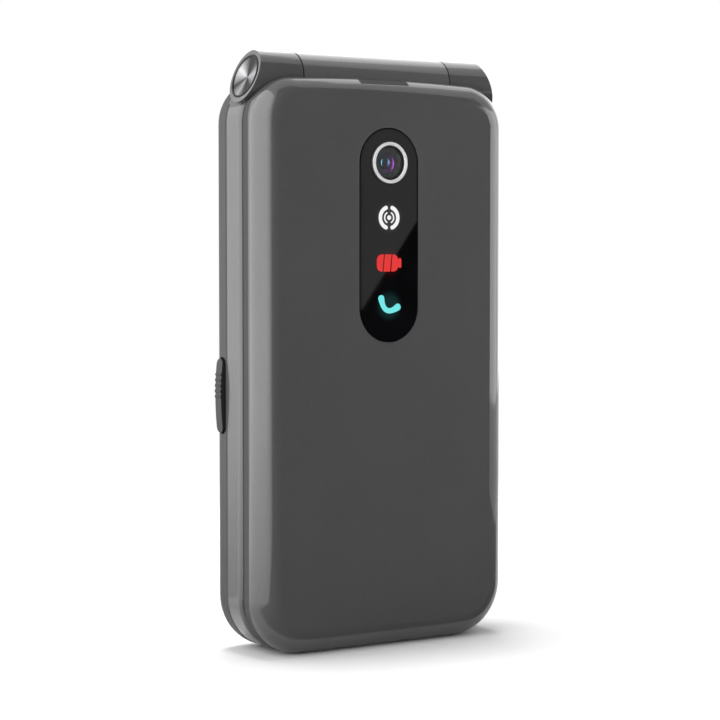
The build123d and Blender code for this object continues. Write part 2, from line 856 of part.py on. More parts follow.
# Base front housing: keypad face, side walls, and the two ears of the hinge
with BuildPart() as base_front_housing:
    add(body_slab(base_front_y, seam_y, 0, groove_rounding))
    add(body_hollow(wall_back_y, seam_y, base_side_wall + board_ledge), mode=Mode.SUBTRACT)
    add(body_hollow(board_front_y, seam_y, base_side_wall), mode=Mode.SUBTRACT)
    add(barrel(recess_radius, -ear_start_x, ear_start_x), mode=Mode.SUBTRACT)
    add(both_ends(hinge_ear()))
    add(both_ends(cap_seat()), mode=Mode.SUBTRACT)
    # bush bore in the left ear, keyed socket in the right
    add(barrel(barrel_bore_radius, -ear_bore_end, -ear_start_x), mode=Mode.SUBTRACT)
    with BuildSketch(across(ear_start_x)):
        with Locations((hinge_y, hinge_z)):
            Circle(cartridge_radius + seat_gap)
            Rectangle(2 * barrel_radius, shaft_flat + 2 * seat_gap, mode=Mode.INTERSECT)
    extrude(amount=shaft_key_length + 2 * fit_gap, mode=Mode.SUBTRACT)
    slot_front_y = base_tail_y - ribbon_thickness - fit_gap
    slot_bottom_z = rail_z - seat_gap
    add(ribbon_slot(base_tail_span, slot_bottom_z, slot_front_y, base_tail_y + fit_gap), mode=Mode.SUBTRACT)
    # sunk keypad field and the openings for the keys
    field = (keypad_width, keypad_bottom - key_spacing / 2, keypad_top + key_spacing / 2)
    add(between(*field, base_front_y, fascia_y, keypad_corner), mode=Mode.SUBTRACT)
    for column, row in digit_places.values():
        extrude(digit_outline(wall_back_y, column, row, key_gap), amount=front_wall, mode=Mode.SUBTRACT)
    for side, level in function_places.values():
        extrude(function_outline(wall_back_y, side, level, key_gap), amount=front_wall, mode=Mode.SUBTRACT)
    extrude(round_outline(wall_back_y, nav_radius + key_gap), amount=front_wall, mode=Mode.SUBTRACT)
    # port and microphone hole
    add(port_opening(), mode=Mode.SUBTRACT)
    add(post(microphone_hole, *microphone_place, base_front_y, wall_back_y), mode=Mode.SUBTRACT)
    # screw posts
    for x, z in base_screw_places:
        add(post(boss_radius, x, z, wall_back_y, board_front_y))
        add(post(screw_radius + seat_gap, x, z, screw_point_y - cover_gap, board_front_y), mode=Mode.SUBTRACT)
save(base_front_housing, "base_front_housing")

# Base rear housing: back wall, battery compartment, locating lip and the rear of the hinge trough
with BuildPart() as base_rear_housing:
    add(body_slab(seam_y, base_back_y, 0, 0, rear_rounding))
    back_wall_y = base_back_y - back_wall
    add(body_hollow(seam_y, back_wall_y, base_side_wall, 0, rear_rounding - back_wall), mode=Mode.SUBTRACT)
    lip_root_y = seam_y + seam_lip
    add(body_hollow(seam_y - seam_lip, lip_root_y, base_side_wall + fit_gap))
    add(body_hollow(seam_y, lip_root_y, base_side_wall))
    add(body_hollow(seam_y - seam_lip, lip_root_y, base_side_wall + seam_lip), mode=Mode.SUBTRACT)
    # floor of the compartment and the tubs that hang from it
    floor_growth = cover_gap + bay_wall
    floor_plate = (cover_width + 2 * floor_growth, cover_bottom - floor_growth, cover_top + floor_growth)
    battery_tub = (bay_width + 2 * bay_wall, battery_bottom - cover_gap - bay_wall, card_bay_top + bay_wall)
    speaker_tub_width = speaker_bay_width + 2 * bay_wall
    speaker_tub = (speaker_tub_width, speaker_bay_bottom - bay_wall, speaker_bay_top + bay_wall)
    add(between(*floor_plate, ledge_front_y, cover_front_y, cover_corner + floor_growth))
    add(between(*battery_tub, bay_front_y, ledge_front_y))
    add(between(*speaker_tub, bay_front_y, ledge_front_y))
    for x, z in base_screw_places:
        add(post(boss_radius, x, z, board_front_y, ledge_front_y))
    # seat of the cover, the three bays, and the gate of the contacts between two of them
    cover_seat = (cover_width + 2 * cover_gap, cover_bottom - cover_gap, cover_top + cover_gap)
    battery_bay = (bay_width, battery_bottom - cover_gap, bay_top)
    card_bay = (bay_width, card_bay_bottom, card_bay_top)
    speaker_bay = (speaker_bay_width, speaker_bay_bottom, speaker_bay_top)
    contact_gate = (contact_width + 2 * fit_gap, bay_top - bay_wall, card_bay_bottom + bay_wall)
    add(between(*cover_seat, cover_front_y, base_back_y, cover_corner + cover_gap), mode=Mode.SUBTRACT)
    add(between(*battery_bay, bay_floor_y, cover_front_y, battery_corner), mode=Mode.SUBTRACT)
    add(between(*card_bay, bay_floor_y, cover_front_y, battery_corner), mode=Mode.SUBTRACT)
    add(between(*speaker_bay, bay_floor_y, cover_front_y, speaker_corner), mode=Mode.SUBTRACT)
    add(between(*contact_gate, bay_floor_y, bay_floor_y + contact_depth), mode=Mode.SUBTRACT)
    add(cover_pegs(cover_gap + fit_gap), mode=Mode.SUBTRACT)
    # screw holes with sunk heads
    for x, z in base_screw_places:
        add(post(screw_radius + fit_gap, x, z, board_front_y, cover_front_y), mode=Mode.SUBTRACT)
        add(post(screw_head_radius + fit_gap, x, z, head_seat_y, cover_front_y), mode=Mode.SUBTRACT)
    # thumb notch, rocker slot, port and hinge trough
    with BuildSketch(facing_front(base_back_y)):
        with Locations((0, cover_bottom)):
            SlotOverall(*thumb_notch)
    extrude(amount=thumb_notch_depth, mode=Mode.SUBTRACT)
    extrude(rocker_outline(-half_width - 1, rocker_gap), amount=2 + base_side_wall, mode=Mode.SUBTRACT)
    with BuildSketch(across(wall_inner_x)):
        with Locations((rocker_center_y, rocker_z)):
            Rectangle(4 * rocker_width, rocker_length + 2 * rocker_flange + 2 * rocker_gap)
    extrude(amount=seam_lip + fit_gap, mode=Mode.SUBTRACT)
    add(port_opening(), mode=Mode.SUBTRACT)
    add(barrel(recess_radius, -ear_start_x, ear_start_x), mode=Mode.SUBTRACT)
    add(barrel(barrel_radius + seat_gap, -body_width, body_width), mode=Mode.SUBTRACT)
save(base_rear_housing, "base_rear_housing")

# Battery cover: a plate with speaker slits and snap pegs
with BuildPart() as battery_cover:
    add(between(cover_width, cover_bottom, cover_top, cover_front_y, base_back_y, cover_corner))
    chamfer(battery_cover.faces().sort_by(Axis.Y)[-1].edges(), cover_edge)
    add(cover_pegs())
    with BuildSketch(facing_front(base_back_y)):
        with Locations((0, (speaker_bay_bottom + speaker_bay_top) / 2)):
            with GridLocations(0, speaker_slit_pitch, 1, speaker_slits):
                SlotOverall(*speaker_slit)
    extrude(amount=cover_thickness, mode=Mode.SUBTRACT)
save(battery_cover, "battery_cover")

with BuildPart() as battery:
    add(between(battery_width, battery_bottom, battery_top, bay_floor_y, battery_back_y, battery_corner))
    chamfer(battery.edges().group_by(Axis.Y)[-1], battery_edge)
save(battery, "battery")

# Three sprung blades in a block, reaching down to the battery's end
with BuildPart() as battery_contacts:
    block = (contact_width, bay_top + fit_gap, card_bay_bottom - fit_gap)
    add(between(*block, bay_floor_y, bay_floor_y + contact_depth - fit_gap))
    blade_length = fit_gap + 2 * cover_gap
    blade_bottom = battery_top + cover_gap / 2
    with BuildSketch(facing_front(bay_floor_y + contact_depth / 2 + blade_depth / 2)):
        with Locations((0, blade_bottom + blade_length / 2)):
            with GridLocations(blade_pitch, 0, 3, 1):
                Rectangle(blade_width, blade_length)
    extrude(amount=blade_depth)
save(battery_contacts, "battery_contacts")

# Main board: chips on its back, round clearance for the screw posts
with BuildPart() as main_board:
    add(body_hollow(board_front_y, board_back_y, base_side_wall + fit_gap))
    split(bisect_by=Plane.XY.offset(rail_z - cover_gap), keep=Keep.BOTTOM)
    for x, z in base_screw_places:
        add(post(boss_radius + key_gap, x, z, board_front_y, board_back_y), mode=Mode.SUBTRACT)
    chip_x = -(bay_width / 2 + bay_wall + board_part_gap + chip_size[0] / 2)
    with BuildSketch(facing_front(board_back_y + chip_depth)):
        with Locations(*[(chip_x, z) for z in chip_heights]):
            Rectangle(*chip_size)
    extrude(amount=chip_depth)
save(main_board, "main_board")

with BuildPart() as shield_can:
    can_x = bay_width / 2 + bay_wall + board_part_gap + can_size[0] / 2
    can_back_y = board_back_y + can_depth
    hollow_size = (can_size[0] - 2 * can_wall, can_size[1] - 2 * can_wall)
    add(panel(*can_size, can_x, can_center_z, board_back_y, can_back_y))
    add(panel(*hollow_size, can_x, can_center_z, board_back_y, can_back_y - can_wall), mode=Mode.SUBTRACT)
save(shield_can, "shield_can")

# Sheet of metal domes, one under each key and four under the ring
side_steps = ((0, 1), (0, -1), (1, 0), (-1, 0))
nav_dome_reach = nav_radius - nav_dome_inset
nav_dome_places = [(x * nav_dome_reach, nav_z + z * nav_dome_reach) for x, z in side_steps]
digit_centers = [(c * column_pitch, keypad_bottom + (r + 0.5) * row_pitch) for c, r in digit_places.values()]
function_center_x = function_key_outer_x - function_dome_inset
function_centers = [(s * function_center_x, nav_z + v * function_key_z) for s, v in function_places.values()]
sheet_width = keypad_width + 2 * sheet_margin
sheet_bottom = keypad_bottom - sheet_margin
with BuildPart() as dome_sheet:
    add(between(sheet_width, sheet_bottom, keypad_top, dome_sheet_y, board_front_y))
    with BuildSketch(facing_front(dome_sheet_y)):
        with Locations(*digit_centers, *function_centers, (0, nav_z)):
            Circle(dome_radius)
        with Locations(*nav_dome_places):
            Circle(nav_dome_radius)
    extrude(amount=dome_height, taper=60)
save(dome_sheet, "dome_sheet")

with BuildPart() as keypad_mat:
    add(between(sheet_width, sheet_bottom, keypad_top, mat_front_y, mat_back_y))
    mat_hole = round_outline(mat_back_y, nav_radius + nav_flange + key_gap)
    extrude(mat_hole, amount=mat_thickness, mode=Mode.SUBTRACT)
    with BuildSketch(facing_front(dome_tip_y)):
        with Locations(*digit_centers, *function_centers):
            RegularPolygon(nub_radius, 8)
    extrude(amount=nub_height)
save(keypad_mat, "keypad_mat")


# A key: a crowned cap with softened edges, on a flange that keeps it behind the keypad face
def make_key(name, outline, crown_center):
    with BuildPart() as key:
        extrude(outline(key_back_y, 0), amount=key_back_y - key_front_y)
        with Locations((crown_center[0], key_front_y + key_crown_radius, crown_center[1])):
            Sphere(key_crown_radius, mode=Mode.INTERSECT)
        chamfer(key.faces().sort_by(Axis.Y)[0].edges(), key_edge)
        extrude(outline(key_back_y, key_flange), amount=flange_thickness)
    save(key, name)


for name, center in zip(digit_places, digit_centers):
    column, row = digit_places[name]
    make_key(name, lambda y, growth: digit_outline(y, column, row, growth), center)
for name, center in zip(function_places, function_centers):
    side, level = function_places[name]
    make_key(name, lambda y, growth: function_outline(y, side, level, growth), center)

# Navigation ring on a rocking plate, round the confirm key
nav_flange_front_y = wall_back_y + nav_lift
nav_flange_back_y = nav_flange_front_y + nav_flange_thickness
plate_front_y = nav_flange_back_y + nav_lift - seat_gap
with BuildPart() as nav_ring:
    nav_depth = nav_flange_back_y - key_front_y - nav_sink
    nav_bore = round_outline(nav_flange_back_y, ok_radius + key_gap)
    extrude(round_outline(nav_flange_back_y, nav_radius), amount=nav_depth)
    extrude(nav_bore, amount=nav_depth, mode=Mode.SUBTRACT)
    fillet(nav_ring.faces().sort_by(Axis.Y)[0].edges(), nav_edge_rounding)
    extrude(round_outline(nav_flange_back_y, nav_radius + nav_flange), amount=nav_flange_thickness)
    extrude(nav_bore, amount=nav_flange_thickness, mode=Mode.SUBTRACT)
save(nav_ring, "nav_ring")

with BuildPart() as nav_plate:
    plate_back_y = plate_front_y + nav_plate_thickness
    extrude(round_outline(plate_back_y, nav_radius), amount=nav_plate_thickness)
    plate_bore = round_outline(plate_back_y, ok_radius + ok_flange + nav_plate_gap)
    extrude(plate_bore, amount=nav_plate_thickness, mode=Mode.SUBTRACT)
    for side in (-1, 1):
        nub_z = nav_z + side * (nav_radius - nav_nub_inset)
        nav_foot_x = side * (nav_radius - nav_foot_inset)
        add(panel(*nav_nub, 0, nub_z, nav_flange_back_y + seat_gap, plate_front_y))
        add(panel(*nav_foot, nav_foot_x, nav_z, plate_back_y, dome_sheet_y - seat_gap))
save(nav_plate, "nav_plate")

with BuildPart() as key_ok:
    ok_back_y = dome_tip_y - key_travel - ok_spare
    extrude(round_outline(ok_back_y, ok_radius), amount=ok_back_y - key_front_y)
    chamfer(key_ok.faces().sort_by(Axis.Y)[0].edges(), key_edge)
    extrude(round_outline(ok_back_y, ok_radius + ok_flange), amount=ok_flange_thickness)
save(key_ok, "key_ok")

# Volume rocker: a convex bar on a longer inner foot, with ribs for the thumb above its middle
with BuildPart() as volume_rocker:
    foot_x = wall_inner_x + key_gap
    with BuildSketch(facing_front(rocker_center_y + rocker_width / 2)):
        with BuildLine():
            low_z = rocker_z - rocker_length / 2
            high_z = rocker_z + rocker_length / 2
            crest_x = -half_width - rocker_proud
            shoulder_x = crest_x + rocker_crown
            Line((foot_x, low_z), (shoulder_x, low_z))
            ThreePointArc((shoulder_x, low_z), (crest_x, rocker_z), (shoulder_x, high_z))
            Polyline((shoulder_x, high_z), (foot_x, high_z), (foot_x, low_z))
        make_face()
        lowest_rise = rocker_rib_rise - (rocker_ribs - 1) / 2 * rocker_rib_pitch
        for i in range(rocker_ribs):
            rise = lowest_rise + i * rocker_rib_pitch
            crown_drop = rocker_crown * (2 * rise / rocker_length) ** 2
            with Locations((crest_x + crown_drop + rocker_rib_radius / 2, rocker_z + rise)):
                Circle(rocker_rib_radius)
    extrude(amount=rocker_width)
    extrude(rocker_outline(-half_width - 5), amount=10, mode=Mode.INTERSECT)
    with BuildSketch(across(foot_x)):
        with Locations((rocker_center_y, rocker_z)):
            Rectangle(rocker_width, rocker_length + 2 * rocker_flange)
    extrude(amount=rocker_foot)
save(volume_rocker, "volume_rocker")

# Small switch board on edge behind the rocker
with BuildPart() as side_switch:
    switch_x = foot_x + rocker_foot + key_gap
    switch_back_y = rocker_center_y + rocker_width / 2
    with BuildSketch(across(switch_x + switch_travel)):
        with Locations((switch_back_y - switch_board[0] / 2, rocker_z)):
            Rectangle(*switch_board)
    extrude(amount=switch_thickness)
    with BuildSketch(across(switch_x)):
        with Locations((rocker_center_y, rocker_z)):
            with GridLocations(0, 2 * switch_reach, 1, 2):
                Circle(switch_radius)
    extrude(amount=switch_travel)
save(side_switch, "side_switch")

# Port: a rounded metal tube with a tongue
with BuildPart() as usb_socket:
    extrude(port_outline(port_setback), amount=port_depth)
    extrude(port_outline(port_setback, -port_wall), amount=port_depth - port_back, mode=Mode.SUBTRACT)
    with BuildSketch(Plane.XY.offset(port_setback + tongue_setback)):
        with Locations((0, port_center_y)):
            Rectangle(*tongue_size)
    extrude(amount=port_depth - port_back - tongue_setback + seat_gap)
save(usb_socket, "usb_socket")

with BuildPart() as card_socket:
    card_center_z = (card_bay_bottom + card_bay_top) / 2
    card_top_y = bay_floor_y + card_frame_depth
    card_sill = (card_frame[1] - card_slot[1]) / 2
    add(panel(*card_frame, 0, card_center_z, bay_floor_y, card_top_y))
    card_space = (bay_floor_y + card_sheet, card_top_y - card_sheet)
    for x in (-card_pitch / 2, card_pitch / 2):
        add(panel(*card_slot, x, card_center_z - card_sill, *card_space), mode=Mode.SUBTRACT)
        add(panel(*card_window, x, card_center_z, card_space[0], card_top_y), mode=Mode.SUBTRACT)
save(card_socket, "card_socket")

with BuildPart() as loudspeaker:
    speaker_z = (speaker_bay_bottom + speaker_bay_top) / 2
    speaker_back_y = bay_floor_y + speaker_depth
    groove_outer = (speaker_size[0] - 2 * speaker_rim, speaker_size[1] - 2 * speaker_rim)
    groove_inner = (groove_outer[0] - 2 * speaker_groove, groove_outer[1] - 2 * speaker_groove)
    add(panel(*speaker_size, 0, speaker_z, bay_floor_y, speaker_back_y, speaker_corner - cover_gap))
    with BuildSketch(facing_front(speaker_back_y)):
        with Locations((0, speaker_z)):
            SlotOverall(*groove_outer)
            SlotOverall(*groove_inner, mode=Mode.SUBTRACT)
    extrude(amount=speaker_groove_depth, mode=Mode.SUBTRACT)
save(loudspeaker, "loudspeaker")

with BuildPart() as microphone:
    add(post(microphone_radius, *microphone_place, wall_back_y + cover_gap, board_front_y))
save(microphone, "microphone")

with BuildPart() as vibration_motor:
    add(post(motor_radius, *motor_place, board_back_y, board_back_y + motor_depth))
    chamfer(vibration_motor.faces().sort_by(Axis.Y)[-1].edges(), motor_edge)
save(vibration_motor, "vibration_motor")

# Antenna: a folded strip of sheet metal on the compartment's floor
with BuildPart() as antenna:
    strip = (ledge_front_y - antenna_thickness, ledge_front_y)
    slot_length = antenna_size[0] - 2 * board_part_gap
    add(panel(*antenna_size, *antenna_place, *strip))
    for side in (-1, 1):
        slot_x = antenna_place[0] - side * board_part_gap
        slot_z = antenna_place[1] + side * antenna_slot_reach
        add(panel(slot_length, antenna_slot, slot_x, slot_z, *strip), mode=Mode.SUBTRACT)
save(antenna, "antenna")

with BuildPart() as base_screws:
    for x, z in base_screw_places:
        add(post(screw_head_radius, x, z, head_seat_y, cover_front_y - seat_gap))
        add(post(screw_radius, x, z, screw_point_y, head_seat_y))
save(base_screws, "base_screws")


# Hinge end cap: a lipped disc with a dished cone, on the slanted end of the ear
def end_cap():
    with BuildPart() as cap:
        with BuildSketch(cap_section):
            with BuildLine():
                Polyline(
                    (0, -cap_depth),
                    (0, -cap_dish),
                    (cap_radius - cap_lip, -seat_gap),
                    (cap_radius - cap_lip, cap_proud),
                    (cap_radius, cap_proud),
                    (cap_radius, -cap_depth),
                    close=True,
                )
            make_face()
        revolve(axis=Axis(ear_end.origin, ear_end.z_dir))
    return cap.part


with BuildPart() as hinge_end_caps:
    add(both_ends(end_cap()))
save(hinge_end_caps, "hinge_end_caps")

# Hollow bush: fast in the left ear, it runs in the knuckle and lets the ribbon through
with BuildPart() as hinge_bush:
    bush_radii = (barrel_bore_radius - shaft_gap, barrel_bore_radius - bush_wall)
    add(tube(*bush_radii, bush_end_x, bush_end_x + bush_length))
save(hinge_bush, "hinge_bush")


# A ribbon cable: rolled round the hinge axis, with a tail that hangs beside one half's board
def ribbon(start_x, end_x, tail_start_x, tail_end_x, radius, tail):
    with BuildPart() as strip:
        add(tube(radius, radius - ribbon_thickness, start_x, end_x))
        with BuildSketch(across(tail_start_x)):
            with BuildLine():
                Polyline(*tail, close=True)
            make_face()
        extrude(amount=tail_end_x - tail_start_x)
    return strip.part


with BuildPart() as hinge_ribbon:
    tail_end_z = rail_z - base_tail_drop
    tail = [
        (base_tail_y - ribbon_thickness, hinge_z),
        (base_tail_y, hinge_z),
        (base_tail_y, tail_end_z),
        (base_tail_y - ribbon_thickness, tail_end_z),
    ]
    add(ribbon(base_tail_span[0], bush_end_x + bush_length + roll_end, *base_tail_span, base_roll, tail))
save(hinge_ribbon, "hinge_ribbon")

with BuildPart() as lid_ribbon:
    lid_roll = hinge_y - lid_tail_y
    tail = [
        (lid_tail_y, hinge_z),
        (lid_tail_y, foot_z + ribbon_thickness),
        (panel_front_y, foot_z + ribbon_thickness),
        (panel_front_y, foot_z),
        (lid_tail_y + ribbon_thickness, foot_z),
        (lid_tail_y + ribbon_thickness, hinge_z),
    ]
    add(ribbon(*lid_ribbon_span, *lid_ribbon_span, lid_roll, tail))
save(lid_ribbon, "lid_ribbon")
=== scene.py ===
import json
import math

import bmesh
import bpy
from mathutils import Matrix, Vector

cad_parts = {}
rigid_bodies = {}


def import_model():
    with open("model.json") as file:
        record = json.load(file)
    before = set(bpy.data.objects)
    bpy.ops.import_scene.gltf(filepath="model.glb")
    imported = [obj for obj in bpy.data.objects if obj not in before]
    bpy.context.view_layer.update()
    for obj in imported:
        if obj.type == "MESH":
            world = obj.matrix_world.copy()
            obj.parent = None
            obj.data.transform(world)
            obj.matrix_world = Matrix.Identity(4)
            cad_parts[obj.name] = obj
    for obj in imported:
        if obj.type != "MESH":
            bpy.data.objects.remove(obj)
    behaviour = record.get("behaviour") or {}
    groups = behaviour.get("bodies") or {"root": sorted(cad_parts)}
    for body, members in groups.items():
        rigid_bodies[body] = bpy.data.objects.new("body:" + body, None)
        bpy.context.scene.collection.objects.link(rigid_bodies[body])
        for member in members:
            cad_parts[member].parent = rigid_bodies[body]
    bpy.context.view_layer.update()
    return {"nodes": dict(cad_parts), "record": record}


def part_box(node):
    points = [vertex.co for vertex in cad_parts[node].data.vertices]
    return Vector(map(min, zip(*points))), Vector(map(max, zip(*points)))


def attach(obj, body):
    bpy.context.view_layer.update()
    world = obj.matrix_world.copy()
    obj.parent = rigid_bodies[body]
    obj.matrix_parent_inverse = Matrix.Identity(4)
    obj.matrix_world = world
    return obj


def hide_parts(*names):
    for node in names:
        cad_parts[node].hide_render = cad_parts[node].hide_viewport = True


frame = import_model()
nodes = frame["nodes"]
bodyOf = {name: body for body, names in frame["record"]["behaviour"]["bodies"].items() for name in names}
slotOf = {row["node"]: row["material_slot"] for row in frame["record"]["subparts"]}
print("frame loaded,", len(nodes), "nodes")

mm = 0.001
scene = bpy.context.scene
scene.view_settings.view_transform = "Standard"

# places that several materials and pieces share, in millimetres
cameraHeight = 88.3
padRingHeight = 70.5
hingeDepth, hingeHeight = -0.4, 103.35


def srgb(code):
    values = [int(code[i:i + 2], 16) / 255 for i in (0, 2, 4)]
    return tuple(v / 12.92 if v < 0.04045 else ((v + 0.055) / 1.055) ** 2.4 for v in values) + (1.0,)


# a socket that takes part in sums, in a material or in a geometry tree
class Wire:
    def __init__(self, maker, socket):
        self.maker = maker
        self.socket = socket

    def maths(self, operation, *others):
        values = dict(enumerate((self,) + others))
        return self.maker.node("ShaderNodeMath", {"operation": operation}, values)

    def __add__(self, other):
        return self.maths("ADD", other)

    def __mul__(self, other):
        return self.maths("MULTIPLY", other)

    def __sub__(self, other):
        return self.maths("SUBTRACT", other)

    def __rsub__(self, other):
        return self.maths("MULTIPLY", -1.0) + other

    def __truediv__(self, other):
        return self.maths("DIVIDE", other)

    def __abs__(self):
        return self.maths("ABSOLUTE")

    __radd__ = __add__
    __rmul__ = __mul__

    # rises from 0 to 1 between two values
    def between(self, low, high):
        inputs = {"Value": self, "From Min": low, "From Max": high}
        return self.maker.node("ShaderNodeMapRange", {"interpolation_type": "SMOOTHSTEP"}, inputs)


def distance(across, along):
    return (across * across + along * along).maths("SQRT")


class Nodes:
    def __init__(self, tree):
        self.tree = tree

    # any node: its settings first, then the values or links of its sockets; a list holds several links
    def node(self, kind, settings=None, inputs=None, out=0):
        made = self.tree.nodes.new(kind)
        for key, value in (settings or {}).items():
            if key == "stops":
                for i, (place, colour) in enumerate(value):
                    stop = made.color_ramp.elements[i] if i < 2 else made.color_ramp.elements.new(place)
                    stop.position = place
                    stop.color = srgb(colour)
            else:
                setattr(made, key, value)
        for key, value in (inputs or {}).items():
            for item in value if isinstance(value, list) else [value]:
                if isinstance(item, Wire):
                    self.tree.links.new(item.socket, made.inputs[key])
                else:
                    made.inputs[key].default_value = srgb(item) if isinstance(item, str) else item
        if isinstance(out, tuple):
            return [Wire(self, made.outputs[o]) for o in out]
        return Wire(self, made.outputs[out])

    # 1 for what the camera sees at first hand, mirrored or through glass
    def seen(self):
        names = ("Is Camera Ray", "Is Glossy Ray", "Is Transmission Ray")
        direct, mirrored, through = self.node("ShaderNodeLightPath", out=names)
        return direct.maths("MAXIMUM", mirrored).maths("MAXIMUM", through)


class Shader(Nodes):
    def __init__(self, name):
        self.material = bpy.data.materials.new(name)
        self.material.use_nodes = True
        super().__init__(self.material.node_tree)
        self.tree.nodes.clear()
        self.output = self.tree.nodes.new("ShaderNodeOutputMaterial")

    # place on the object in millimetres
    def place(self):
        metres = self.node("ShaderNodeTexCoord", out="Object")
        scaled = self.node("ShaderNodeVectorMath", {"operation": "SCALE"}, {0: metres, "Scale": 1 / mm})
        return self.node("ShaderNodeSeparateXYZ", None, {0: scaled}, ("X", "Y", "Z"))

    # noise whose grains are so many millimetres across
    def noise(self, grain, detail=2.0, stretch=(1, 1, 1), rough=0.5):
        metres = self.node("ShaderNodeTexCoord", out="Object")
        scale = tuple(1 / (grain * mm * s) for s in stretch)
        mapped = self.node("ShaderNodeMapping", None, {"Vector": metres, "Scale": scale})
        inputs = {"Vector": mapped, "Scale": 1.0, "Detail": detail, "Roughness": rough}
        return self.node("ShaderNodeTexNoise", None, inputs)

    def mix(self, factor, first, second):
        settings = {"data_type": "RGBA", "blend_type": "MIX"}
        return self.node("ShaderNodeMix", settings, {0: factor, 6: first, 7: second}, 2)

    def surface(self, shader):
        self.tree.links.new(shader.socket, self.output.inputs["Surface"])
        return self.material

    # height is a wire from 0 to 1, and depth what it stands for in millimetres
    def finish(self, colour, roughness, metallic=0.0, height=None, depth=0.01, **more):
        inputs = {"Base Color": colour, "Roughness": roughness, "Metallic": metallic}
        inputs.update({key.replace("_", " "): value for key, value in more.items()})
        if height is not None:
            inputs["Normal"] = self.node("ShaderNodeBump", None, {"Distance": depth * mm, "Height": height})
        return self.surface(self.node("ShaderNodeBsdfPrincipled", None, inputs))

    # a surface that shines by itself and mirrors nothing
    def shining(self, colour, strength):
        return self.surface(self.node("ShaderNodeEmission", None, {"Color": colour, "Strength": strength}))


# Materials

# lacquered plastic: fine metal grains under a clear coat, with a trace of orange peel and handling;
# from a given depth to the back, below the height called under, it is painted darker, rougher and without
# coat as painted shade along the seam at its back, and so is a notch of some half width at the top edge,
# where a finger opens the lid
def lacquer(name, look):
    shader = Shader(name)
    grains = shader.noise(look["grain"], 1.0).between(0.52, 0.72)
    cloud = shader.noise(look["cloud"], 3.0).between(0.3, 0.7)
    smudge = shader.noise(look["smudge"], 4.0, (1, 1, 2.5), 0.6).between(0.45, 0.75)
    peel = shader.noise(look["peel"], 1.0)
    colour = shader.mix(cloud * 0.35, look["colour"], look["shade"])
    colour = shader.mix(grains * look["glint"], colour, look["grainColour"])
    roughness = look["roughness"] + 0.06 * grains + 0.05 * smudge
    coat = look["coat"] - 0.12 * smudge
    if "bare" in look:
        x, y, z = shader.place()
        rear, top, side = look["fades"]
        under = 1.0 - z.between(look["under"], look["under"] + top)
        # painted shade along the seam at the back: darker, rougher and without coat
        bare = y.between(look["bare"], look["bare"] + rear) * under
        if "notch" in look:
            halfWidth, low = look["notch"]
            notch = (1.0 - abs(x).between(halfWidth - side, halfWidth)) * z.between(low, low + top)
            bare = bare.maths("MAXIMUM", notch)
        colour = shader.mix(bare, colour, look["bareColour"])
        roughness = roughness + look["bareRoughness"] * bare
        coat = coat * (1.0 - bare)
    return shader.finish(colour, roughness, 0.0, peel, look["peelDepth"], Coat_Weight=coat,
                         Coat_Roughness=look["coatRoughness"], Specular_IOR_Level=look["gloss"])


# bare moulded plastic, spark-eroded in the mould; within some reach of the hinge's axis it is lacquered
def moulded(name, look, reach=None):
    shader = Shader(name)
    texture = shader.noise(look["grain"], 3.0, rough=0.6)
    cloud = shader.noise(look["cloud"], 3.0).between(0.3, 0.7)
    rubbed = shader.noise(look["rub"], 5.0, rough=0.65).between(0.55, 0.8)
    colour = shader.mix(cloud * 0.5, look["colour"], look["shade"])
    colour = shader.mix(rubbed * look["wear"], colour, look["rubbed"])
    roughness = look["roughness"] + 0.1 * (texture - 0.5) - 0.08 * rubbed
    if not reach:
        return shader.finish(colour, roughness, 0.0, texture, look["depth"])
    x, y, z = shader.place()
    lacquered = 1.0 - distance(y - hingeDepth, z - hingeHeight).between(reach, reach + 0.05)
    colour = shader.mix(lacquered, colour, graphite["colour"])
    roughness = roughness + lacquered * (graphite["roughness"] - look["roughness"])
    return shader.finish(colour, roughness, 0.0, texture * (1.0 - lacquered), look["depth"],
                         Coat_Weight=lacquered, Coat_Roughness=graphite["coatRoughness"])


# sheet or bar metal with the fine lines of its rolling, running along x, y or z
def drawn(name, look):
    shader = Shader(name)
    stretch = tuple(look["run"] if axis == look["along"] else 1 for axis in "xyz")
    rolled = shader.noise(look["line"], 3.0, stretch, 0.6)
    stain = shader.noise(look["stainSize"], 4.0).between(0.5, 0.8)
    colour = shader.mix(rolled, look["colour"], look["shade"])
    colour = shader.mix(stain * 0.25, colour, look["stain"])
    return shader.finish(colour, look["roughness"] + 0.15 * rolled + 0.1 * stain, 1.0, rolled, look["depth"])


# polymer film or wrap with a faint weave
def film(name, look):
    shader = Shader(name)
    x, y, z = shader.place()
    weave = (x * look["pitch"]).maths("SINE") * (z * look["pitch"]).maths("SINE")
    crease = shader.noise(2.2, 4.0, (1, 1, 3)).between(0.55, 0.75)
    colour = shader.mix(shader.noise(4.0).between(0.3, 0.7), look["colour"], look["shade"])
    height = 0.5 + 0.3 * weave + 0.4 * crease
    return shader.finish(colour, look["roughness"] + 0.12 * crease, 0.0, height, look["depth"])


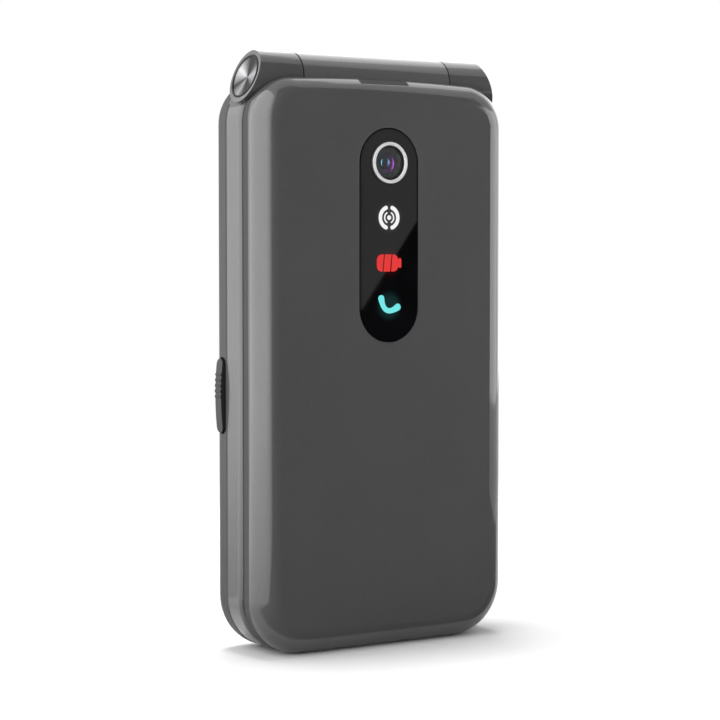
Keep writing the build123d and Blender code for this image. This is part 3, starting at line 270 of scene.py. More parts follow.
# board: green mask over copper tracks that run up and across, with tinned pads
def board(name, look):
    shader = Shader(name)
    x, y, z = shader.place()
    bendUp, bendAcross = 2.0 * shader.noise(7.0, 0.0, (1, 1, 4)), 2.0 * shader.noise(9.0, 0.0, (4, 1, 1))
    runs = (x * look["pitch"] + bendUp).maths("SINE").between(0.55, 0.7)
    crossings = (z * look["pitch"] + bendAcross).maths("SINE").between(0.6, 0.75)
    either = shader.noise(3.0, 0.0).between(0.48, 0.52)
    tracks = runs * either + crossings * (1.0 - either)
    cell = {"Vector": shader.node("ShaderNodeTexCoord", out="Object"), "Scale": 1 / (look["pad"] * mm)}
    pads = 1.0 - shader.node("ShaderNodeTexVoronoi", {"distance": "CHEBYCHEV"}, cell).between(0.13, 0.16)
    colour = shader.mix(tracks, look["colour"], look["track"])
    colour = shader.mix(pads, colour, look["tin"])
    return shader.finish(colour, look["roughness"] - 0.14 * pads, pads, tracks + pads, look["depth"])


# graphite lacquer; its darker seam colour is painted shade along the seam at the back
graphite = {"colour": "3f3f40", "shade": "3a3a3b", "grain": 0.09, "glint": 0.06, "grainColour": "8e8f92",
            "cloud": 14.0, "smudge": 11.0, "peel": 0.9, "peelDepth": 0.0008, "roughness": 0.42, "coat": 1.0,
            "coatRoughness": 0.05, "gloss": 0.12, "bareColour": "383839", "bareRoughness": 0.2,
            "fades": (0.12, 0.1, 0.05)}
satinBlack = {"colour": "1b1b1c", "shade": "202021", "rubbed": "343436", "wear": 0.12, "grain": 0.16,
              "cloud": 9.0, "rub": 3.5, "depth": 0.006, "roughness": 0.46}
keyBlack = {**satinBlack, "colour": "1f1f21", "shade": "242427", "grain": 0.22, "roughness": 0.34,
            "depth": 0.003}
steel = {"colour": "b9babc", "shade": "9b9c9f", "stain": "7d7a74", "stainSize": 2.6, "line": 0.05, "run": 40,
         "along": "z", "depth": 0.004, "roughness": 0.24}

finishes = {
    # the lid and the band carry painted shade towards the seam at their back
    "lid_shell": lacquer("graphiteLid", {**graphite, "bare": -4.35, "under": 120.0, "notch": (5.25, 102.35)}),
    "front_housing": lacquer("graphiteBand", {**graphite, "bare": 3.2, "under": 98.6}),
    "rear_housing": lacquer("graphiteBack", {**graphite, "colour": "2a2a2b", "shade": "252526", "coat": 0.3,
                                             "roughness": 0.6, "coatRoughness": 0.4, "peelDepth": 0.003,
                                             "gloss": 0.2}),
    "frame_black": moulded("bezelBlack", satinBlack, 4.75),
    "inner_black": moulded("innerBlack", {**satinBlack, "colour": "131314", "shade": "18181a",
                                          "roughness": 0.6}),
    "rocker_black": moulded("rockerBlack", {**satinBlack, "colour": "050506", "shade": "090909", "wear": 0.04,
                                            "grain": 0.12, "roughness": 0.5}),
    "soft_rubber": moulded("softRubber", {**satinBlack, "colour": "1e1e1f", "shade": "262627", "grain": 0.3,
                                          "roughness": 0.78, "depth": 0.01}),
    "key_face": moulded("keyBlack", keyBlack),
    "key_green": moulded("keyGreen", {**keyBlack, "colour": "1c5a35", "shade": "184d2d", "rubbed": "3f8a5c"}),
    "key_red": moulded("keyRed", {**keyBlack, "colour": "7c1f1e", "shade": "6b1a19", "rubbed": "b04c46"}),
    "light_guide": moulded("milkyGuide", {**satinBlack, "colour": "d6d6d2", "shade": "c8c8c2",
                                          "rubbed": "efefea", "roughness": 0.5}),
    "grille_steel": drawn("sheetSteel", {**steel, "along": "x"}),
    "screw_steel": drawn("turnedSteel", {**steel, "colour": "9c9da0", "shade": "7f8083", "along": "x"}),
    "contact_gold": drawn("contactGold", {**steel, "colour": "e2bd62", "shade": "c79c41", "stain": "a67a34"}),
    "battery_wrap": film("batteryWrap", {"colour": "2b2b2e", "shade": "303034", "pitch": 9.0,
                                         "roughness": 0.45, "depth": 0.01}),
    "ribbon_amber": film("ribbonAmber", {"colour": "a8641e", "shade": "8d4f14", "pitch": 14.0,
                                         "roughness": 0.32, "depth": 0.004}),
    "circuit_board": board("circuitBoard", {"colour": "1d4a2f", "track": "2a6a43", "tin": "c9c7bd",
                                            "pitch": 7.5, "pad": 2.4, "roughness": 0.42, "depth": 0.02}),
}

signs = {
    "call": {"height": 62.45, "colour": "6fe8e6", "shade": "4cc9cc"},
    "battery": {"height": 70.2, "colour": "e6211f", "shade": "c01a1a"},
    "signal": {"height": 78.4, "colour": "f4f4f4", "shade": "d5d5d5"},
}


# window: black gloss, and a faint bloom on its front round each lit sign
def windowGloss():
    look = {"colour": "060607", "haze": "0a0a0c", "signRadius": 1.2, "bloom": 1.9, "strength": 0.03,
            "front": (-8.48, -8.44)}
    shader = Shader("windowGloss")
    x, y, z = shader.place()
    haze = shader.noise(12.0, 4.0).between(0.45, 0.8)
    glow = "000000"
    for sign in signs.values():
        away = distance(x, z - sign["height"]).between(look["signRadius"], look["signRadius"] + look["bloom"])
        glow = shader.mix((1.0 - away) * look["strength"], glow, sign["colour"])
    glow = shader.mix(1.0 - y.between(*look["front"]), "000000", glow)
    return shader.finish(shader.mix(haze, look["colour"], look["haze"]), 0.02 + 0.03 * haze,
                         Emission_Color=glow, Emission_Strength=1.0, IOR=1.5)


# screen: black glass, its picture area a shade bluer behind a fine grid
def screenGloss():
    look = {"border": "08080a", "picture": "0f1318", "line": "0c0f13", "halfWidth": 20.6, "low": 23.2,
            "high": 81.8, "edge": 0.1, "grid": 40.0}
    shader = Shader("screenGloss")
    x, y, z = shader.place()
    edge = look["edge"]
    across = 1.0 - abs(x).between(look["halfWidth"] - edge, look["halfWidth"])
    up = z.between(look["low"], look["low"] + edge) * (1.0 - z.between(look["high"] - edge, look["high"]))
    grid = (x * look["grid"]).maths("SINE") * (z * look["grid"]).maths("SINE")
    picture = shader.mix(grid.between(-0.2, 0.6), look["line"], look["picture"])
    smear = shader.noise(8.0, 4.0, (1, 1, 3), 0.6).between(0.5, 0.8)
    return shader.finish(shader.mix(across * up, look["border"], picture), 0.03 + 0.06 * smear, IOR=1.5)


def displayDark():
    shader = Shader("displayDark")
    edge = shader.noise(0.4, 2.0)
    return shader.finish(shader.mix(edge, "10131a", "161a22"), 0.25 + 0.1 * edge, 0.0, edge, 0.004)


# the lines that a lathe leaves round a piece, at some radius from its middle
def turnedLines(shader, radius, pitch):
    waver = shader.noise(0.8, 2.0) * 0.6
    return 0.5 + 0.5 * (radius * (2 * math.pi / pitch) + waver).maths("SINE")


# ring of the camera: turned metal, its flanks painted darker than its face as painted shade
def ringMetal():
    look = {"colour": "d2d2d2", "shade": "babbbd", "flank": "4a4a4c", "pitch": 0.13, "inner": (3.1, 3.14),
            "outer": (3.68, 3.78), "metal": 0.35}
    shader = Shader("ringMetal")
    x, y, z = shader.place()
    radius = distance(x, z - cameraHeight)
    turned = turnedLines(shader, radius, look["pitch"])
    colour = shader.mix(turned * 0.6, look["colour"], look["shade"])
    # painted shade: inside and outside its face the ring is darkened
    flank = 1.0 - radius.between(*look["inner"]) * (1.0 - radius.between(*look["outer"]))
    colour = shader.mix(flank, colour, look["flank"])
    return shader.finish(colour, 0.3 + 0.12 * turned, look["metal"], turned, 0.004)


# end cap of the hinge: a dished face with turned lines in a dark lip, and bright and dark fans painted
# round it as a painted reflection of a sun-brushed face; the stops run round it from the back over the top
def capMetal():
    look = {"side": 25.3, "slant": math.radians(20.0), "lip": (3.66, 3.72), "rim": "29292b", "line": "4a4a4c",
            "pitch": 0.16, "waver": 0.02,
            "fans": [(0.0, "7c7c7d"), (1.0, "7c7c7d"), (0.08, "a8a8a9"), (0.17, "6c6c6d"), (0.24, "2c2c2d"),
                     (0.31, "0c0c0d"), (0.38, "3a3a3b"), (0.48, "b4b4b5"), (0.55, "8c8c8d"), (0.61, "0e0e0f"),
                     (0.7, "121213"), (0.79, "929293"), (0.85, "6c6c6d"), (0.91, "202021"), (0.96, "666667")]}
    shader = Shader("capMetal")
    x, y, z = shader.place()
    slant = look["slant"]
    up = (abs(x) - look["side"]) * -math.sin(slant) + (z - hingeHeight) * math.cos(slant)
    behind = y - hingeDepth
    radius = distance(up, behind)
    streak = shader.noise(0.35, 3.0, rough=0.7)
    around = up.maths("ARCTAN2", behind) / (2 * math.pi) + 1.0 + look["waver"] * (streak - 0.5)
    # painted reflection: bright and dark fans set in the colour by the angle round the cap
    colour = shader.node("ShaderNodeValToRGB", {"stops": look["fans"]}, {0: around.maths("FRACT")})
    turned = turnedLines(shader, radius, look["pitch"])
    colour = shader.mix(turned * 0.12, colour, look["line"])
    colour = shader.mix(radius.between(*look["lip"]), colour, look["rim"])
    return shader.finish(colour, 0.32 + 0.1 * turned, 1.0, turned, 0.006)


# ring of the keypad: satin silver, drawn round its middle
def ringSilver():
    look = {"colour": "b9babd", "shade": "a3a4a7", "pitch": 0.18, "metal": 0.6}
    shader = Shader("ringSilver")
    x, y, z = shader.place()
    turned = turnedLines(shader, distance(x, z - padRingHeight), look["pitch"])
    worn = shader.noise(2.5, 4.0).between(0.5, 0.8)
    colour = shader.mix(turned * 0.7, look["colour"], look["shade"])
    return shader.finish(colour, 0.3 + 0.1 * turned + 0.08 * worn, look["metal"], turned, 0.004)


def lensGlass():
    shader = Shader("lensGlass")
    dust = shader.noise(0.5, 3.0).between(0.6, 0.8)
    return shader.finish(shader.mix(dust * 0.3, "f2f5f8", "d7dbe0"), 0.01 + 0.03 * dust,
                         Transmission_Weight=1.0, IOR=1.45)


# coated glass inside the camera; its tint is a painted reflection colour, one at the upper left and another
# at the lower right
def coating(name, first, second, roughness):
    shader = Shader(name)
    x, y, z = shader.place()
    # painted reflection colour: the first tint at the upper left, the second at the lower right
    slope = ((x - (z - cameraHeight)) * 0.25 + 0.5).between(0.0, 1.0)
    ripple = shader.noise(0.3, 2.0) * 0.2
    return shader.finish(shader.mix(slope + ripple, first, second), roughness + 0.05 * ripple, 1.0,
                         Specular_IOR_Level=0.2)


# lit sign or printed mark
def printed(name, colour, shade, glow=0.0):
    shader = Shader(name)
    mottle = shader.noise(0.25, 3.0).between(0.3, 0.7)
    ink = shader.mix(mottle * 0.3, colour, shade)
    roughness = 0.35 + 0.08 * mottle
    if glow:
        return shader.finish(shader.mix(0.9, ink, "000000"), roughness, 0.0, mottle, 0.002,
                             Emission_Color=ink, Emission_Strength=glow)
    return shader.finish(ink, roughness, 0.0, mottle, 0.002)


finishes.update({
    "window_gloss": windowGloss(),
    "screen_gloss": screenGloss(),
    "display_dark": displayDark(),
    "ring_metal": ringMetal(),
    "cap_metal": capMetal(),
    "ring_silver": ringSilver(),
    "lens_glass": lensGlass(),
})
for name, node in nodes.items():
    node.data.materials.clear()
    node.data.materials.append(finishes[slotOf[name]])
print("finishes on,", len(finishes))


# Pieces added to the model's own

def keep(name, mesh, material, body):
    made = bpy.data.objects.new(name, mesh)
    scene.collection.objects.link(made)
    if material:
        mesh.materials.append(material)
    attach(made, body)
    return made


def piece(name, made, material, body):
    mesh = bpy.data.meshes.new(name)
    made.to_mesh(mesh)
    made.free()
    return keep(name, mesh, material, body)


# flat outlines seen from the front, given a thickness; the front of them is at y = front
def cut(outlines, front, thickness):
    made = bmesh.new()
    for outline in outlines:
        made.faces.new([made.verts.new((x * mm, (front + thickness) * mm, z * mm)) for x, z in outline])
    made.normal_update()
    bmesh.ops.triangulate(made, faces=made.faces[:])
    risen = bmesh.ops.extrude_face_region(made, geom=made.faces[:])
    moved = [item for item in risen["geom"] if isinstance(item, bmesh.types.BMVert)]
    bmesh.ops.translate(made, verts=moved, vec=(0, -thickness * mm, 0))
    bmesh.ops.recalc_face_normals(made, faces=made.faces[:])
    return made


# a stroke of varying width along a line, with round ends
def stroke(points, widths, endSteps=5):
    points = [Vector(p) for p in points]
    last = len(points) - 1
    headings = [(points[min(i + 1, last)] - points[max(i - 1, 0)]).normalized() for i in range(last + 1)]
    rows = list(zip(points, widths, headings))
    ends = [(rows[0], -1), (rows[last], 1)]
    bends = [math.pi / 2 * k / endSteps for k in range(1, endSteps)]
    for (point, width, heading), sign in ends:
        steps = [(point + heading * (sign * width / 2 * math.cos(b)), width * math.sin(b), heading)
                 for b in bends]
        rows = steps + rows if sign < 0 else rows + steps[::-1]
    left, right = [], []
    for point, width, heading in rows:
        side = Vector((-heading.y, heading.x)) * (width / 2)
        left.append(point + side)
        right.append(point - side)
    return [tuple(p) for p in left + right[::-1]]


def ringPoints(centre, radius, turns):
    return [(centre[0] + radius * math.cos(t), centre[1] + radius * math.sin(t)) for t in turns]


def bow(centre, radius, start, end, width, steps=18):
    turns = [math.radians(start + (end - start) * i / steps) for i in range(steps + 1)]
    return stroke(ringPoints(centre, radius, turns), [width] * len(turns))


def disc(centre, radius, steps=24):
    return ringPoints(centre, radius, [2 * math.pi * i / steps for i in range(steps)])


def roundBox(centre, size, corner, steps=5):
    outline = []
    for k, (sx, sz) in enumerate(((1, 1), (-1, 1), (-1, -1), (1, -1))):
        bendAt = (centre[0] + sx * (size[0] / 2 - corner), centre[1] + sz * (size[1] / 2 - corner))
        outline += ringPoints(bendAt, corner, [math.pi / 2 * (k + i / steps) for i in range(steps + 1)])
    return outline


# the part of an outline that lies to the right of a line, going from its start to its end
def clipped(outline, start, end):
    side = [(end[0] - start[0]) * (z - start[1]) - (end[1] - start[1]) * (x - start[0]) for x, z in outline]
    kept = []
    for i, (point, here) in enumerate(zip(outline, side)):
        following, there = outline[(i + 1) % len(outline)], side[(i + 1) % len(outline)]
        if here < 0:
            kept.append(point)
        if (here < 0) != (there < 0):
            share = here / (here - there)
            kept.append(tuple(a + (b - a) * share for a, b in zip(point, following)))
    return kept


# a telephone handset drawn as one curved stroke, thick at both ends
def handset(centre, size, turn, thin, thick, steps=20):
    start, middle, end = [Vector(p) * size for p in ((-0.5, 0.12), (0.0, -0.62), (0.5, 0.12))]
    line, widths = [], []
    for i in range(steps + 1):
        t = i / steps
        point = start * (1 - t) ** 2 + middle * (2 * t * (1 - t)) + end * t ** 2
        line.append(Vector(centre) + Matrix.Rotation(math.radians(turn), 2) @ point)
        widths.append(thin + (thick - thin) * abs(2 * t - 1) ** 3)
    return stroke(line, widths)


# lit signs in the window, a hair proud of it
def litSigns():
    look = {
        "rise": 0.04, "thickness": 0.05, "glow": 0.9,
        "arcs": [(1.9, 70, 0.72, 18), (0.98, 60, 0.26, 10)], "dot": 0.42,
        "battery": {"across": -0.35, "size": (4.6, 3.1), "corner": 1.0, "slant": 0.2, "reach": 2},
        "bars": [(-4.0, -1.3), (-1.05, 0.35), (0.6, 4.0)],
        "terminal": {"across": 2.32, "size": (0.7, 1.8), "corner": 0.34},
        "handset": {"across": -0.1, "lift": 0.1, "size": 3.9, "turn": -24, "thin": 0.95, "thick": 1.3},
    }
    signal = (0, signs["signal"]["height"])
    waves = []
    for radius, half, width, steps in look["arcs"]:
        for middle in (180, 0):
            waves.append(bow(signal, radius, middle - half, middle + half, width, steps))

    body, terminal, height = look["battery"], look["terminal"], signs["battery"]["height"]
    whole = roundBox((body["across"], height), body["size"], body["corner"])
    slant, low, high = body["slant"], height - body["reach"], height + body["reach"]
    bars = []
    for left, right in look["bars"]:
        bar = clipped(whole, (left - slant, low), (left + slant, high))
        bars.append(clipped(bar, (right + slant, high), (right - slant, low)))
    end = roundBox((terminal["across"], height), terminal["size"], terminal["corner"])

    call = look["handset"]
    callAt = (call["across"], signs["call"]["height"] + call["lift"])
    phone = handset(callAt, call["size"], call["turn"], call["thin"], call["thick"])

    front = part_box("lid_window")[0].y / mm - look["rise"]
    shapes = {"signal": waves + [disc(signal, look["dot"])], "battery": bars + [end], "call": [phone]}
    for name, outlines in shapes.items():
        light = printed(name + "Light", signs[name]["colour"], signs[name]["shade"], look["glow"])
        piece(name + "Sign", cut(outlines, front, look["thickness"]), light, "lid")


litSigns()
print("signs lit")


# a solid of revolution round the camera's axis, from its profile of radius and depth
def turnedPiece(name, profile, material, segments=64):
    made = bmesh.new()
    turns = [2 * math.pi * i / segments for i in range(segments)]
    rows = []
    for radius, depth in profile:
        circle = ringPoints((0, cameraHeight), radius, turns) if radius > 0 else [(0, cameraHeight)]
        rows.append([made.verts.new((x * mm, depth * mm, z * mm)) for x, z in circle])
    for one, two in zip(rows, rows[1:]):
        for i in range(segments):
            corners = [one[i % len(one)], one[(i + 1) % len(one)], two[(i + 1) % len(two)], two[i % len(two)]]
            made.faces.new(list(dict.fromkeys(corners)))
    bmesh.ops.recalc_face_normals(made, faces=made.faces[:])
    for face in made.faces:
        face.smooth = True
    result = piece(name, made, material, "lid")
    result.data.set_sharp_from_angle(angle=math.radians(30))
    return result


# a quarter of an oval, from a rim of some radius at the depth called base to its pole
def quarter(radius, base, rise, steps):
    turns = [math.pi / 2 * i / steps for i in range(steps)]
    return [(radius * math.cos(t), base + rise * math.sin(t)) for t in turns] + [(0, base + rise)]


# camera: stepped baffle, a coloured bowl behind it and a domed front element
def cameraInside():
    look = {
        "front": -7.7, "back": -5.87, "radius": 3.25,
        "baffle": [(2.6, 0.0), (2.42, 0.22), (2.05, 0.22), (1.9, 0.45)],
        "bowl": {"radius": 1.9, "front": 0.45, "deep": 0.55, "bed": 0.15, "play": 0.01, "steps": 12},
        "dome": {"radius": 1.15, "back": 0.55, "high": 0.42, "foot": 0.35, "steps": 10},
    }
    front, back, bowl, dome = look["front"], look["back"], look["bowl"], look["dome"]
    bowlFront, domeBack = front + bowl["front"], front + dome["back"]
    bed = bowlFront + bowl["deep"] + bowl["bed"]
    baffle = [(radius, front + depth) for radius, depth in look["baffle"]]
    profile = [(0, back), (look["radius"], back), (look["radius"], front)] + baffle
    profile += [(bowl["radius"], bed), (0, bed)]
    body = turnedPiece("cameraBody", profile, finishes["inner_black"])

    behind = bed - bowl["play"]
    profile = [(0, behind), (bowl["radius"], behind)]
    profile += quarter(bowl["radius"], bowlFront, bowl["deep"], bowl["steps"])
    # the bowl's and the dome's two tints are painted reflection colours
    turnedPiece("cameraBowl", profile, coating("violetCoating", "1b2c4a", "8a3f9c", 0.34))

    foot = domeBack + dome["foot"]
    profile = [(0, foot), (dome["radius"], foot)]
    profile += quarter(dome["radius"], domeBack, -dome["high"], dome["steps"])
    turnedPiece("cameraDome", profile, coating("tealCoating", "55a6b4", "5a2f70", 0.2))
    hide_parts("camera_module")


cameraInside()
print("camera made")


# a character as a mesh that stands upright, its middle at x = 0 and z = 0
def character(text, size, thickness):
    curve = bpy.data.curves.new(text, "FONT")
    curve.body = text
    curve.size = size
    curve.align_x = "CENTER"
    curve.align_y = "CENTER"
    curve.extrude = thickness / 2
    curve.resolution_u = 4
    letter = bpy.data.objects.new(text, curve)
    scene.collection.objects.link(letter)
    graph = bpy.context.evaluated_depsgraph_get()
    mesh = bpy.data.meshes.new_from_object(letter.evaluated_get(graph))
    bpy.data.objects.remove(letter)
    corners = [v.co for v in mesh.vertices]
    middle = [(min(c[i] for c in corners) + max(c[i] for c in corners)) / 2 for i in range(2)]
    upright = Matrix.Rotation(math.pi / 2, 4, "X")
    mesh.transform(upright @ Matrix.Translation((-middle[0], -middle[1], 0)))
    mesh.materials.clear()
    return mesh


# marks on the keys, and the nib that a thumb feels on key 5
def legends():
    look = {
        "rise": 0.03, "thickness": 0.09, "height": 4.6, "starHeight": 7.82, "white": "e9e9e6",
        "shade": "cfcfca", "outward": 1.3, "thin": 0.75, "thick": 1.25,
        "call": {"size": 4.4, "turn": -45, "lift": 0.6},
        "end": {"size": 4.8, "turn": 180, "lift": -1.2},
        "dash": {"half": 1.4, "width": 0.6},
        "ok": {"radius": 1.5, "width": 0.42, "gap": 4},
        "nib": {"half": 0.8, "width": 0.55, "drop": 3.2, "rise": 0.1, "thickness": 0.4},
    }
    ink = printed("keyInk", look["white"], look["shade"])
    characters = {f"key_{d}": str(d) for d in range(10)}
    characters.update({"key_star": "*", "key_hash": "#"})
    for name, text in characters.items():
        low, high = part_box(name)
        size = look["starHeight"] if text == "*" else look["height"]
        mesh = character(text, size * mm, look["thickness"] * mm)
        centre = (low + high) / 2
        front = low.y + (look["thickness"] / 2 - look["rise"]) * mm
        mesh.transform(Matrix.Translation((centre.x, front, centre.z)))
        mesh.name = name + "Mark"
        keep(name + "Mark", mesh, ink, bodyOf[name])

    def mark(name, outlines):
        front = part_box(name)[0].y / mm - look["rise"]
        piece(name + "Mark", cut(outlines, front, look["thickness"]), ink, bodyOf[name])

    def centreOf(name, outward=0.0):
        low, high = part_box(name)
        middle = (low + high) / (2 * mm)
        return (middle.x + math.copysign(outward, middle.x), middle.z)

    def dash(x, z, size):
        return stroke([(x - size["half"], z), (x + size["half"], z)], [size["width"]] * 2)

    for name in ("call", "end"):
        x, z = centreOf("key_" + name, look["outward"])
        phone = look[name]
        lifted = (x, z + phone["lift"])
        mark("key_" + name, [handset(lifted, phone["size"], phone["turn"], look["thin"], look["thick"])])
    for name in ("key_soft_left", "key_soft_right"):
        mark(name, [dash(*centreOf(name, look["outward"]), look["dash"])])
    ok, middle = look["ok"], centreOf("key_ok")
    mark("key_ok", [bow(middle, ok["radius"], start + ok["gap"], start + 180 - ok["gap"], ok["width"])
                    for start in (0, 180)])
    nib = look["nib"]
    x, z = centreOf("key_5")
    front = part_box("key_5")[0].y / mm - nib["rise"]
    made = cut([dash(x, z - nib["drop"], nib)], front, nib["thickness"])
    piece("key_5_nib", made, finishes["key_face"], bodyOf["key_5"])


legends()
print("key marks on")


# geometry tree with named sizes, whose result becomes one plain mesh
class Pattern(Nodes):
    def __init__(self, name, sizes):
        super().__init__(bpy.data.node_groups.new(name, "GeometryNodeTree"))
        self.name = name
        self.sizes = sizes
        self.ids = {}
        for label, value in sizes.items():
            kind = "NodeSocketInt" if isinstance(value, int) else "NodeSocketFloat"
            socket = self.tree.interface.new_socket(label, in_out="INPUT", socket_type=kind)
            self.ids[label] = socket.identifier
        self.tree.interface.new_socket("Geometry", in_out="OUTPUT", socket_type="NodeSocketGeometry")
        self.entry = self.tree.nodes.new("NodeGroupInput")

    def size(self, label):
        return Wire(self, self.entry.outputs[label])

    def vector(self, x=0.0, y=0.0, z=0.0):
        return self.node("ShaderNodeCombineXYZ", None, {0: x, 1: y, 2: z})

    def moved(self, geometry, offset, turn=(0, 0, 0)):
        inputs = {"Geometry": geometry, "Translation": offset, "Rotation": turn}
        return self.node("GeometryNodeTransform", None, inputs)

    def cube(self, x, y, z):
        return self.node("GeometryNodeMeshCube", None, {"Size": self.vector(x, y, z)})

    def cone(self, vertices, top, bottom, depth):
        inputs = {"Vertices": vertices, "Radius Top": top, "Radius Bottom": bottom, "Depth": depth}
        return self.node("GeometryNodeMeshCone", None, inputs)

    def row(self, count, start, step):
        inputs = {"Count": count, "Start Location": start, "Offset": step}
        return self.node("GeometryNodeMeshLine", {"mode": "OFFSET"}, inputs)

    def joined(self, *items):
        return self.node("GeometryNodeJoinGeometry", None, {0: list(items)})

    def instances(self, points, item, turn=(0, 0, 0)):
        inputs = {"Points": points, "Instance": item, "Rotation": turn}
        return self.node("GeometryNodeInstanceOnPoints", None, inputs)

    def made(self, geometry, material, body, slot, replaced=None):
        real = self.node("GeometryNodeRealizeInstances", None, {"Geometry": geometry})
        painted = self.node("GeometryNodeSetMaterial", None, {"Geometry": real, "Material": material})
        end = self.tree.nodes.new("NodeGroupOutput")
        self.tree.links.new(painted.socket, end.inputs[0])
        carrier = bpy.data.objects.new(self.name, bpy.data.meshes.new(self.name))
        scene.collection.objects.link(carrier)
        modifier = carrier.modifiers.new(self.name, "NODES")
        modifier.node_group = self.tree
        for label, value in self.sizes.items():
            modifier[self.ids[label]] = value
        graph = bpy.context.evaluated_depsgraph_get()
        mesh = bpy.data.meshes.new_from_object(carrier.evaluated_get(graph))
        bpy.data.objects.remove(carrier)
        result = keep(self.name, mesh, None if mesh.materials else material, body)
        if replaced:
            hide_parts(replaced)


# four arrow heads round the ring of the keypad
def ringMarks():
    low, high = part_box("nav_ring")
    look = {"Reach": 8.0 * mm, "Size": 0.85 * mm, "Thickness": 0.09 * mm, "Rise": 0.03 * mm, "Marks": 4}
    pattern = Pattern("ringMarks", look)
    size = pattern.size
    ring = pattern.node("GeometryNodeMeshCircle", None, {"Vertices": size("Marks"), "Radius": size("Reach")})
    head = pattern.cone(3, size("Size"), size("Size"), size("Thickness"))
    place = pattern.node("GeometryNodeInputPosition")
    turn = pattern.node("FunctionNodeAlignRotationToVector", {"axis": "X"}, {"Vector": place})
    heads = pattern.instances(ring, head, turn)
    centre = (low + high) / 2
    depth = low.y + size("Thickness") - size("Rise")
    stood = pattern.moved(heads, pattern.vector(centre.x, depth, centre.z), (math.pi / 2, 0, 0))
    pattern.made(stood, printed("ringInk", "2a2a2c", "343437"), "nav_ring", "frame_black")


# the base's screws, with their heads cut by a cross
def baseScrews():
    low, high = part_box("base_screws")
    radius = 1.3 * mm
    look = {"Head": radius, "Head Depth": 0.6 * mm, "Shank": 0.7 * mm, "Cross": 1.5 * mm, "Slot": 0.32 * mm,
            "Slot Depth": 0.4 * mm, "Length": high.y - low.y, "Thread": 0.09 * mm, "Threads": 11,
            "Width": high.x - low.x - 2 * radius, "Height": high.z - low.z - 2 * radius}
    pattern = Pattern("baseScrews", look)
    size = pattern.size
    under = size("Length") - size("Head Depth")
    head = pattern.cone(28, size("Head") * 0.88, size("Head"), size("Head Depth"))
    bar = pattern.cube(size("Cross"), size("Slot"), size("Slot Depth") * 2)
    bars = pattern.joined(pattern.moved(bar, pattern.vector(z=size("Head Depth"))),
                          pattern.moved(bar, pattern.vector(z=size("Head Depth")), (0, 0, math.pi / 2)))
    cutHead = pattern.node("GeometryNodeMeshBoolean", {"operation": "DIFFERENCE", "solver": "EXACT"},
                           {"Mesh 1": head, "Mesh 2": bars})
    core = pattern.node("GeometryNodeMeshCylinder", None,
                        {"Vertices": 20, "Radius": size("Shank") - size("Thread"), "Depth": under})
    shank = pattern.moved(core, pattern.vector(z=under * -0.5))
    pitch = under / (size("Threads") + 1.0)
    row = pattern.row(size("Threads"), pattern.vector(z=pitch * -1.5), pattern.vector(z=pitch * -1.0))
    crest = pattern.cone(16, size("Shank") - size("Thread"), size("Shank"), pitch * 0.6)
    screw = pattern.joined(cutHead, shank, pattern.instances(row, crest))
    corners = pattern.node("GeometryNodeMeshGrid", None, {"Size X": size("Width"), "Size Y": size("Height"),
                                                          "Vertices X": 2, "Vertices Y": 2})
    middle = (low + high) / 2
    place = (middle.x, high.y - look["Head Depth"], middle.z)
    backward = pattern.moved(pattern.instances(corners, screw), place, (-math.pi / 2, 0, 0))
    pattern.made(backward, finishes["screw_steel"], "base", "screw_steel", "base_screws")


# gold pads on the tongue of the port
def portPads():
    low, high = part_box("usb_socket")
    look = {"Width": 0.7 * mm, "Length": 2.6 * mm, "Thickness": 0.06 * mm, "Pitch": 1.2 * mm, "Pads": 5}
    tongue, setBack = 0.35 * mm, 2.4 * mm
    pattern = Pattern("portPads", look)
    size = pattern.size
    pad = pattern.cube(size("Width"), size("Thickness"), size("Length"))
    start = (size("Pads") - 1.0) * size("Pitch") * -0.5
    row = pattern.row(size("Pads"), pattern.vector(start), pattern.vector(size("Pitch")))
    pads = pattern.instances(row, pad)
    place = (0, (low.y + high.y) / 2 - tongue - look["Thickness"] / 2, low.z + setBack)
    pattern.made(pattern.moved(pads, place), finishes["contact_gold"], "base", "contact_gold")


# woven gauze: strands one way and then the other, upright
def gauze(name, look, at, body):
    width, height, pitch = look["width"], look["height"], look["pitch"]
    pattern = Pattern(name, {"Width": width * mm, "Height": height * mm, "Wire": look["wire"] * mm,
                             "Across": int(width / pitch) + 1, "Up": int(height / pitch) + 1})
    size = pattern.size
    wire = pattern.node("GeometryNodeCurvePrimitiveCircle", {"mode": "RADIUS"},
                        {"Resolution": 3, "Radius": size("Wire")})

    def along(axis, length):
        return pattern.vector(length) if axis == "Width" else pattern.vector(z=length)

    rows = []
    for axis, other, count in (("Width", "Height", "Across"), ("Height", "Width", "Up")):
        ends = {"Start": along(other, size(other) * -0.5), "End": along(other, size(other) * 0.5)}
        line = pattern.node("GeometryNodeCurvePrimitiveLine", None, ends)
        strand = pattern.node("GeometryNodeCurveToMesh", None, {"Curve": line, "Profile Curve": wire})
        step = size(axis) / (size(count) - 1.0)
        points = pattern.row(size(count), along(axis, size(axis) * -0.5), along(axis, step))
        rows.append(pattern.instances(points, strand))
    cloth = pattern.moved(pattern.joined(*rows), at)
    pattern.made(cloth, finishes["screw_steel"], body, "grille_steel")


# one piece lies sunk in the loudspeaker, the other behind the slits of the earpiece
def gauzes():
    speaker = {"width": 10.5, "height": 3.2, "pitch": 0.35, "wire": 0.05, "sunk": 0.42}
    ear = {"width": 12.0, "height": 1.2, "pitch": 0.3, "wire": 0.05, "behind": 0.08}
    low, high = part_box("loudspeaker")
    gauze("speakerGauze", speaker, (0, high.y - speaker["sunk"] * mm, (low.z + high.z) / 2), "base")
    low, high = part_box("earpiece_grille")
    gauze("earpieceGauze", ear, (0, low.y - ear["behind"] * mm, (low.z + high.z) / 2), "lid")


ringMarks()
baseScrews()
portPads()
gauzes()
print("patterns grown")


